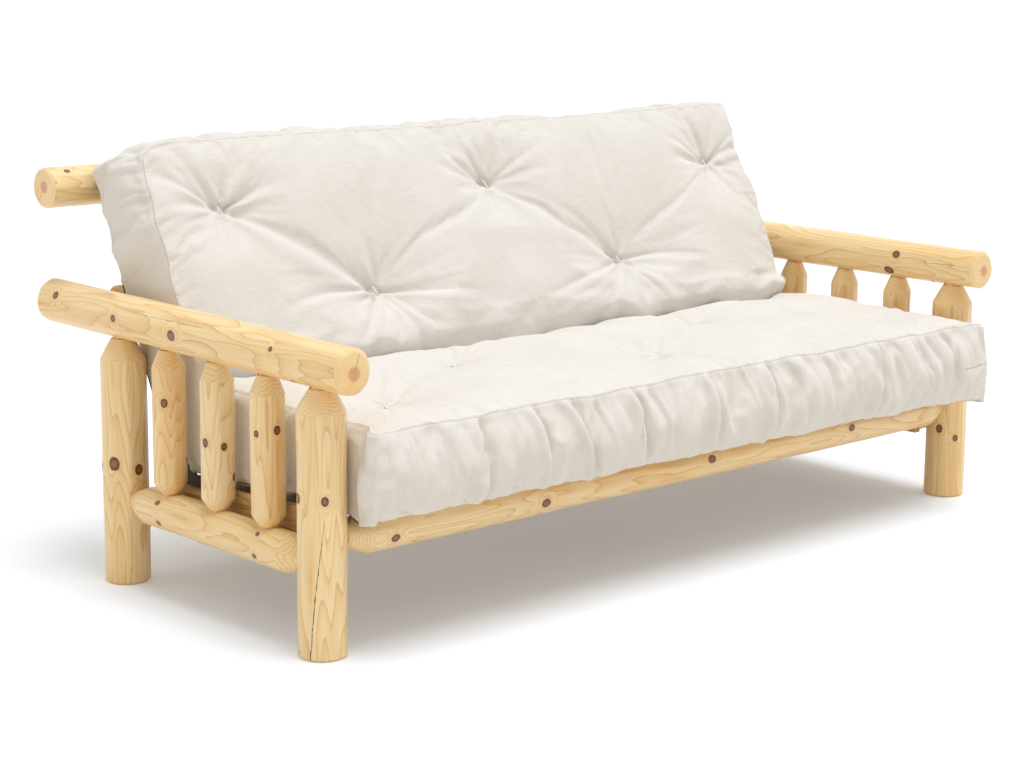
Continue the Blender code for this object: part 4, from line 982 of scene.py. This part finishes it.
# Folds that run from a tuft: turn in degrees up the half from across it, length in metres, depth
TUFT_FOLDS = {
    "high": [(4, 0.16, 0.5), (28, 0.20, 0.7), (63, 0.17, 0.8), (92, 0.12, 0.6), (121, 0.19, 0.8),
             (153, 0.24, 0.9), (168, 0.18, 0.6), (182, 0.17, 0.6), (197, 0.15, 0.5), (14, 0.17, 0.6),
             (-12, 0.15, 0.5), (-72, 0.11, 0.4), (-108, 0.14, 0.5)],
    "low": [(-9, 0.30, 1.0), (-171, 0.33, 1.0), (-36, 0.14, 0.5), (-62, 0.22, 0.7), (-97, 0.17, 0.5),
            (-126, 0.26, 0.8), (-150, 0.15, 0.5), (58, 0.13, 0.6), (90, 0.20, 0.6), (124, 0.11, 0.5)],
}


# Deep tucks of the front boxing: place across the seat and slant of the fold
FRONT_TUCKS = ((-0.705, 0.10), (-0.56, 0.35), (-0.45, 0.50), (-0.27, 0.35), (-0.02, 0.12),
               (0.17, 0.08), (0.565, -0.02))


def crease(piece, shell):
    """Work the small folds into the filled mattress: folds from tuft to tuft, gathers at the seams."""
    m = shell.m
    mesh = piece.data
    points = coordinates(mesh)
    total = len(points)
    normals, lattice = np.zeros(3 * total, np.float32), np.zeros(3 * total, np.float32)
    mesh.vertex_normals.foreach_get("vector", normals)
    mesh.attributes["lattice"].data.foreach_get("vector", lattice)
    normals, lattice = normals.reshape(-1, 3).astype(float), lattice.reshape(-1, 3).astype(float)
    counts = np.array(shell.counts)
    low, high = lattice * m.cell, (counts - lattice) * m.cell
    move = np.zeros(total)
    top = high[:, 2] < 1e-6
    chance = np.random.default_rng(5)
    for half, strength in (("seat", 0.7), ("back", 1.0)):
        here = top & ((lattice[:, 0] <= shell.cells[0]) == (half == "seat"))
        x, y = points[here, 0], (points[here] - np.array(HINGE)) @ np.array(fold_frame(half)[0])
        rows = [[(spot[1], spot[0]) for spot in row] for row in shell.tufts[half]]
        deep = np.zeros(len(x))
        for start in rows[0]:
            for end in rows[1]:
                if math.dist(start, end) < 0.6 * m.tuft_pitch:
                    for shift, share in ((0.0, 1.0), (0.055, 0.55)):
                        bow = chance.uniform(-0.03, 0.03) + shift
                        deep += fold_line(x, y, start, end, bow, 0.0115, share * m.crease, True)
        for row, name in zip(rows, ("low", "high")):
            for spot in row:
                for turn, length, share in TUFT_FOLDS[name]:
                    way = math.radians(turn + chance.uniform(-9, 9))
                    far = length * chance.uniform(0.7, 1.2)
                    end = (spot[0] + far * math.cos(way), spot[1] + far * math.sin(way))
                    bow = chance.uniform(-0.07, 0.07)
                    deep += fold_line(x, y, spot, end, bow, 0.0085, share * m.crease, False)
        move[here] -= strength * np.clip(deep, -0.8 * m.crease, 1.3 * m.crease)

    # Gathers slant down the boxing from the top seam and run a little way onto the top
    seams = ((low[:, 0], 1, 0.45, 0.85), (high[:, 0], 1, 0.2, 0.35),
             (low[:, 1], 0, 0.1, 0.5), (high[:, 1], 0, 0.1, 0.5))
    seam_way = np.full(total, 1.0)
    for number, (depth, run, slant, strength) in enumerate(seams):
        length = counts[run] * m.cell
        along = low[:, run] - slant * high[:, 2]
        puckers = gathers(20 + number, length, along) - 0.5
        broad = gathers(40 + number, length, low[:, run] - 0.5 * slant * high[:, 2], 0.12) - 0.5
        small = gathers(60 + number, length, low[:, run] + 0.2 * high[:, 2], 0.03) - 0.5
        # They come and go along the seam
        swell = 0.45 + 0.9 * gathers(80 + number, length, low[:, run], 0.35)
        on_wall = depth < 1e-6
        upper, lower = np.exp(-(high[:, 2] / 0.11) ** 2), np.exp(-(low[:, 2] / 0.07) ** 2)
        held = 1 - 0.85 * np.exp(-(high[:, 2] / 0.012) ** 2) - 0.85 * np.exp(-(low[:, 2] / 0.022) ** 2)
        folds = swell * (puckers * upper + 0.4 * small * lower) + 0.75 * broad
        # They die out at the ends of the seam, where the boxing turns the corner
        held = held * (1 - np.exp(-(np.minimum(low[:, run], high[:, run]) / 0.03) ** 2))
        move += np.where(on_wall, strength * m.gather * held * folds, 0)
        onto = np.exp(-depth / 0.035) * (1 - np.exp(-(depth / 0.008) ** 2))
        move += np.where(top & ~on_wall, 0.45 * strength * m.gather * puckers * onto, 0)
        if number == 0:
            for place, lean in FRONT_TUCKS:
                off = points[:, 0] - place - lean * high[:, 2]
                tuck = np.exp(-np.abs(off / 0.009) ** 1.5) - 0.8 * np.exp(-((off + 0.022) / 0.014) ** 2)
                move -= np.where(on_wall, m.gather * held * tuck, 0)
        reach = np.where(on_wall, high[:, 2], np.where(top, depth, 1.0))
        seam_way = np.minimum(seam_way, reach)
    # A short seam closes the cover in the boxing at the right front corner
    closing = (low[:, 0] < 1e-6) & (points[:, 0] > 0.868)
    seam_way = np.minimum(seam_way, np.where(closing, np.abs(high[:, 2] - 9 * m.cell), 1.0))
    move -= 0.0012 * np.exp(-(seam_way / 0.006) ** 2)
    points += normals * move[:, None]
    # The ends are held in between the posts, and are free before the front ones and above the arms
    post_low, post_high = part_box("front_left_post")
    ahead = np.maximum(0, post_low.y - 0.002 - points[:, 1])
    above = np.maximum(0, (lattice[:, 0] - shell.cells[0]) * m.cell - m.clear)
    limit = -post_high.x - 0.0008 + ahead + 0.6 * above
    # Where the cloth laps over the deck, its inner layer lies just inside the outer one
    limit -= 0.0007 * ((low[:, 2] < 1e-6) & (low[:, 1] > 1e-6) & (high[:, 1] > 1e-6))
    points[:, 0] = np.clip(points[:, 0], -limit, limit)
    mesh.vertices.foreach_set("co", points.astype(np.float32).ravel())
    # Distance to the nearest seam, which the cloth's material turns into a painted seam shade
    mesh.attributes.new("seam", 'FLOAT', 'POINT').data.foreach_set("value", seam_way.astype(np.float32))
    mesh.update()
    return points, normals, lattice


def add_stitch(points, faces, start, end, up, radius):
    """One stitch of thread: a slim six-sided capsule that lies on the cloth."""
    way = end - start
    length = np.linalg.norm(way)
    way = way / length
    up = up - way * np.dot(up, way)
    up = up / np.linalg.norm(up)
    side = np.cross(way, up)
    base = len(points)
    for share, size in ((0.0, 0.35), (0.15, 1.0), (0.85, 1.0), (1.0, 0.35)):
        middle = start + way * length * share + up * radius * 0.5
        for k in range(6):
            turn = math.tau * k / 6
            points.append(middle + size * radius * (math.cos(turn) * side + math.sin(turn) * up))
    for row in range(3):
        for k in range(6):
            n = (k + 1) % 6
            faces.append((base + 6 * row + k, base + 6 * row + n, base + 6 * row + 6 + n, base + 6 * row + 6 + k))
    faces.append([base + k for k in range(6)][::-1])
    faces.append([base + 18 + k for k in range(6)])


def stitch(shell, points, normals, lattice, material):
    """Thread of the mattress: a row of stitches beside each top seam, and a stitch in every tuft."""
    m = shell.m
    na, nb, nc = shell.counts
    top = np.abs(lattice[:, 2] - nc) < 1e-6
    corners, faces = [], []
    rows = ((0, 0.5, 1), (0, na - 0.5, 1), (1, 0.5, 0), (1, nb - 0.5, 0))
    for axis, where, run in rows:
        line = np.flatnonzero(top & (np.abs(lattice[:, axis] - where) < 1e-6))
        line = line[np.argsort(lattice[line, run])]
        path, ups = points[line], normals[line]
        walked = np.concatenate([[0], np.cumsum(np.linalg.norm(np.diff(path, axis=0), axis=1))])
        for begin in np.arange(0.01, walked[-1] - 0.015, 0.0085):
            ends = [np.array([np.interp(t, walked, path[:, k]) for k in range(3)]) for t in (begin, begin + 0.006)]
            up = np.array([np.interp(begin, walked, ups[:, k]) for k in range(3)])
            add_stitch(corners, faces, ends[0], ends[1], up, 0.0010)
    for half in ("seat", "back"):
        way, up = (np.array(direction) for direction in fold_frame(half))
        along = (points - np.array(HINGE)) @ way
        for spot in shell.tufts[half][0] + shell.tufts[half][1]:
            away = np.hypot(points[:, 0] - spot[1], along - spot[0]) + np.where(top, 0, 1)
            middle = points[np.argmin(away)] + 0.005 * up
            tilt = way - np.array([0.45, 0, 0])
            tilt = 0.014 * tilt / np.linalg.norm(tilt)
            add_stitch(corners, faces, middle - tilt, middle + tilt, up, 0.0022)
    return new_piece("mattress_thread", corners, faces, material)


class FUTON_OT_mattress(Operator):
    """Make the tufted mattress in place of its two plain halves"""
    bl_idname = "futon.mattress"
    bl_label = "Tufted mattress"

    def execute(self, context):
        shell = Shell(context.scene.futon_mattress)
        piece = shell.build(cotton_twill())
        inflate(piece, shell)
        refine(piece)
        thread = stitch(shell, *crease(piece, shell), cotton_thread())
        for soft in (piece, thread):
            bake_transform(soft)
        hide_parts("seat_mattress", "back_mattress")
        return {'FINISHED'}


class FUTON_OT_stage(Operator):
    """Set the floor, the lights and the camera"""
    bl_idname = "futon.stage"
    bl_label = "Studio"

    def execute(self, context):
        scene = context.scene
        scene.view_settings.view_transform = 'Standard'
        floor = bpy.data.objects.new("floor", bpy.data.meshes.new("floor"))
        body = bmesh.new()
        bmesh.ops.create_grid(body, x_segments=1, y_segments=1, size=40)
        body.to_mesh(floor.data)
        body.free()
        scene.collection.objects.link(floor)

        # White paper: a matt floor, lifted to white wherever the camera or a reflection looks at it
        paper, tree, shader = start_material("white_paper")
        seen = put(tree, "ShaderNodeLightPath")
        sight = put(tree, "ShaderNodeMath", {0: seen.outputs["Is Camera Ray"], 1: seen.outputs["Is Glossy Ray"]},
                    operation='MAXIMUM').outputs[0]
        sight = put(tree, "ShaderNodeMath", {0: sight, 1: seen.outputs["Is Transmission Ray"]},
                    operation='MAXIMUM').outputs[0]
        glow = put(tree, "ShaderNodeMath", {0: sight, 1: 0.16}, operation='MULTIPLY').outputs[0]
        paper_tone = put(tree, "ShaderNodeMix", {0: sight, 6: linear("#F2EEE8"), 7: linear("#E8EEF6")},
                         data_type='RGBA').outputs[2]
        tree.links.new(paper_tone, shader.inputs["Base Color"])
        shader.inputs["Roughness"].default_value = 1.0
        shader.inputs["Specular IOR Level"].default_value = 0.0
        shader.inputs["Emission Color"].default_value = (1, 1, 1, 1)
        tree.links.new(glow, shader.inputs["Emission Strength"])
        floor.data.materials.append(paper)

        world = bpy.data.worlds.new("studio")
        world.use_nodes = True
        scene.world = world
        tree = world.node_tree
        seen = put(tree, "ShaderNodeLightPath")
        sight = put(tree, "ShaderNodeMath", {0: seen.outputs["Is Camera Ray"], 1: seen.outputs["Is Glossy Ray"]},
                    operation='MAXIMUM').outputs[0]
        sky = put(tree, "ShaderNodeMix", {0: sight, 6: (0.62, 0.605, 0.58, 1), 7: (1, 1, 1, 1)},
                  data_type='RGBA').outputs[2]
        tree.links.new(sky, tree.nodes["Background"].inputs["Color"])

        # One wide soft light from overhead and in front; the warm white world fills the shade
        light = bpy.data.lights.new("overhead", 'SUN')
        light.energy = 2.05
        light.color = (0.97, 0.985, 1.0)
        light.angle = math.radians(38)
        lamp = bpy.data.objects.new("overhead", light)
        lamp.rotation_euler = Vector((-0.1, 0.2, -1)).to_track_quat('-Z', 'Y').to_euler()
        scene.collection.objects.link(lamp)

        view = scene.futon_stage
        camera = bpy.data.objects.new("camera", bpy.data.cameras.new("camera"))
        camera.data.lens = view.lens
        camera.location = view.camera
        turn = Euler((0, 0, -view.yaw)).to_matrix() @ Euler((math.pi / 2 - view.pitch, 0, 0)).to_matrix()
        camera.rotation_euler = (turn @ Euler((0, 0, view.roll)).to_matrix()).to_euler()
        scene.collection.objects.link(camera)
        scene.camera = camera
        return {'FINISHED'}


OPERATORS = (FUTON_OT_logs, FUTON_OT_deck, FUTON_OT_mattress, FUTON_OT_stage)
SETTINGS = {"futon_logs": LogSettings, "futon_mattress": MattressSettings, "futon_stage": StageSettings}


class FUTON_PT_panel(Panel):
    """Lists what dresses the futon"""
    bl_label = "Log futon"
    bl_idname = "FUTON_PT_panel"
    bl_space_type = 'VIEW_3D'
    bl_region_type = 'UI'
    bl_category = "Futon"

    def draw(self, context):
        for operator in OPERATORS:
            self.layout.operator(operator.bl_idname)
        for name, group in SETTINGS.items():
            for value in group.__annotations__:
                self.layout.prop(getattr(context.scene, name), value)


CLASSES = (*SETTINGS.values(), *OPERATORS, FUTON_PT_panel)


def register():
    for item in CLASSES:
        bpy.utils.register_class(item)
    for name, group in SETTINGS.items():
        setattr(bpy.types.Scene, name, PointerProperty(type=group))


def unregister():
    for name in SETTINGS:
        delattr(bpy.types.Scene, name)
    for item in reversed(CLASSES):
        bpy.utils.unregister_class(item)


def main():
    register()
    bpy.ops.futon.stage()
    bpy.ops.futon.logs()
    bpy.ops.futon.deck()
    bpy.ops.futon.mattress()


if __name__ == "__main__":
    main()
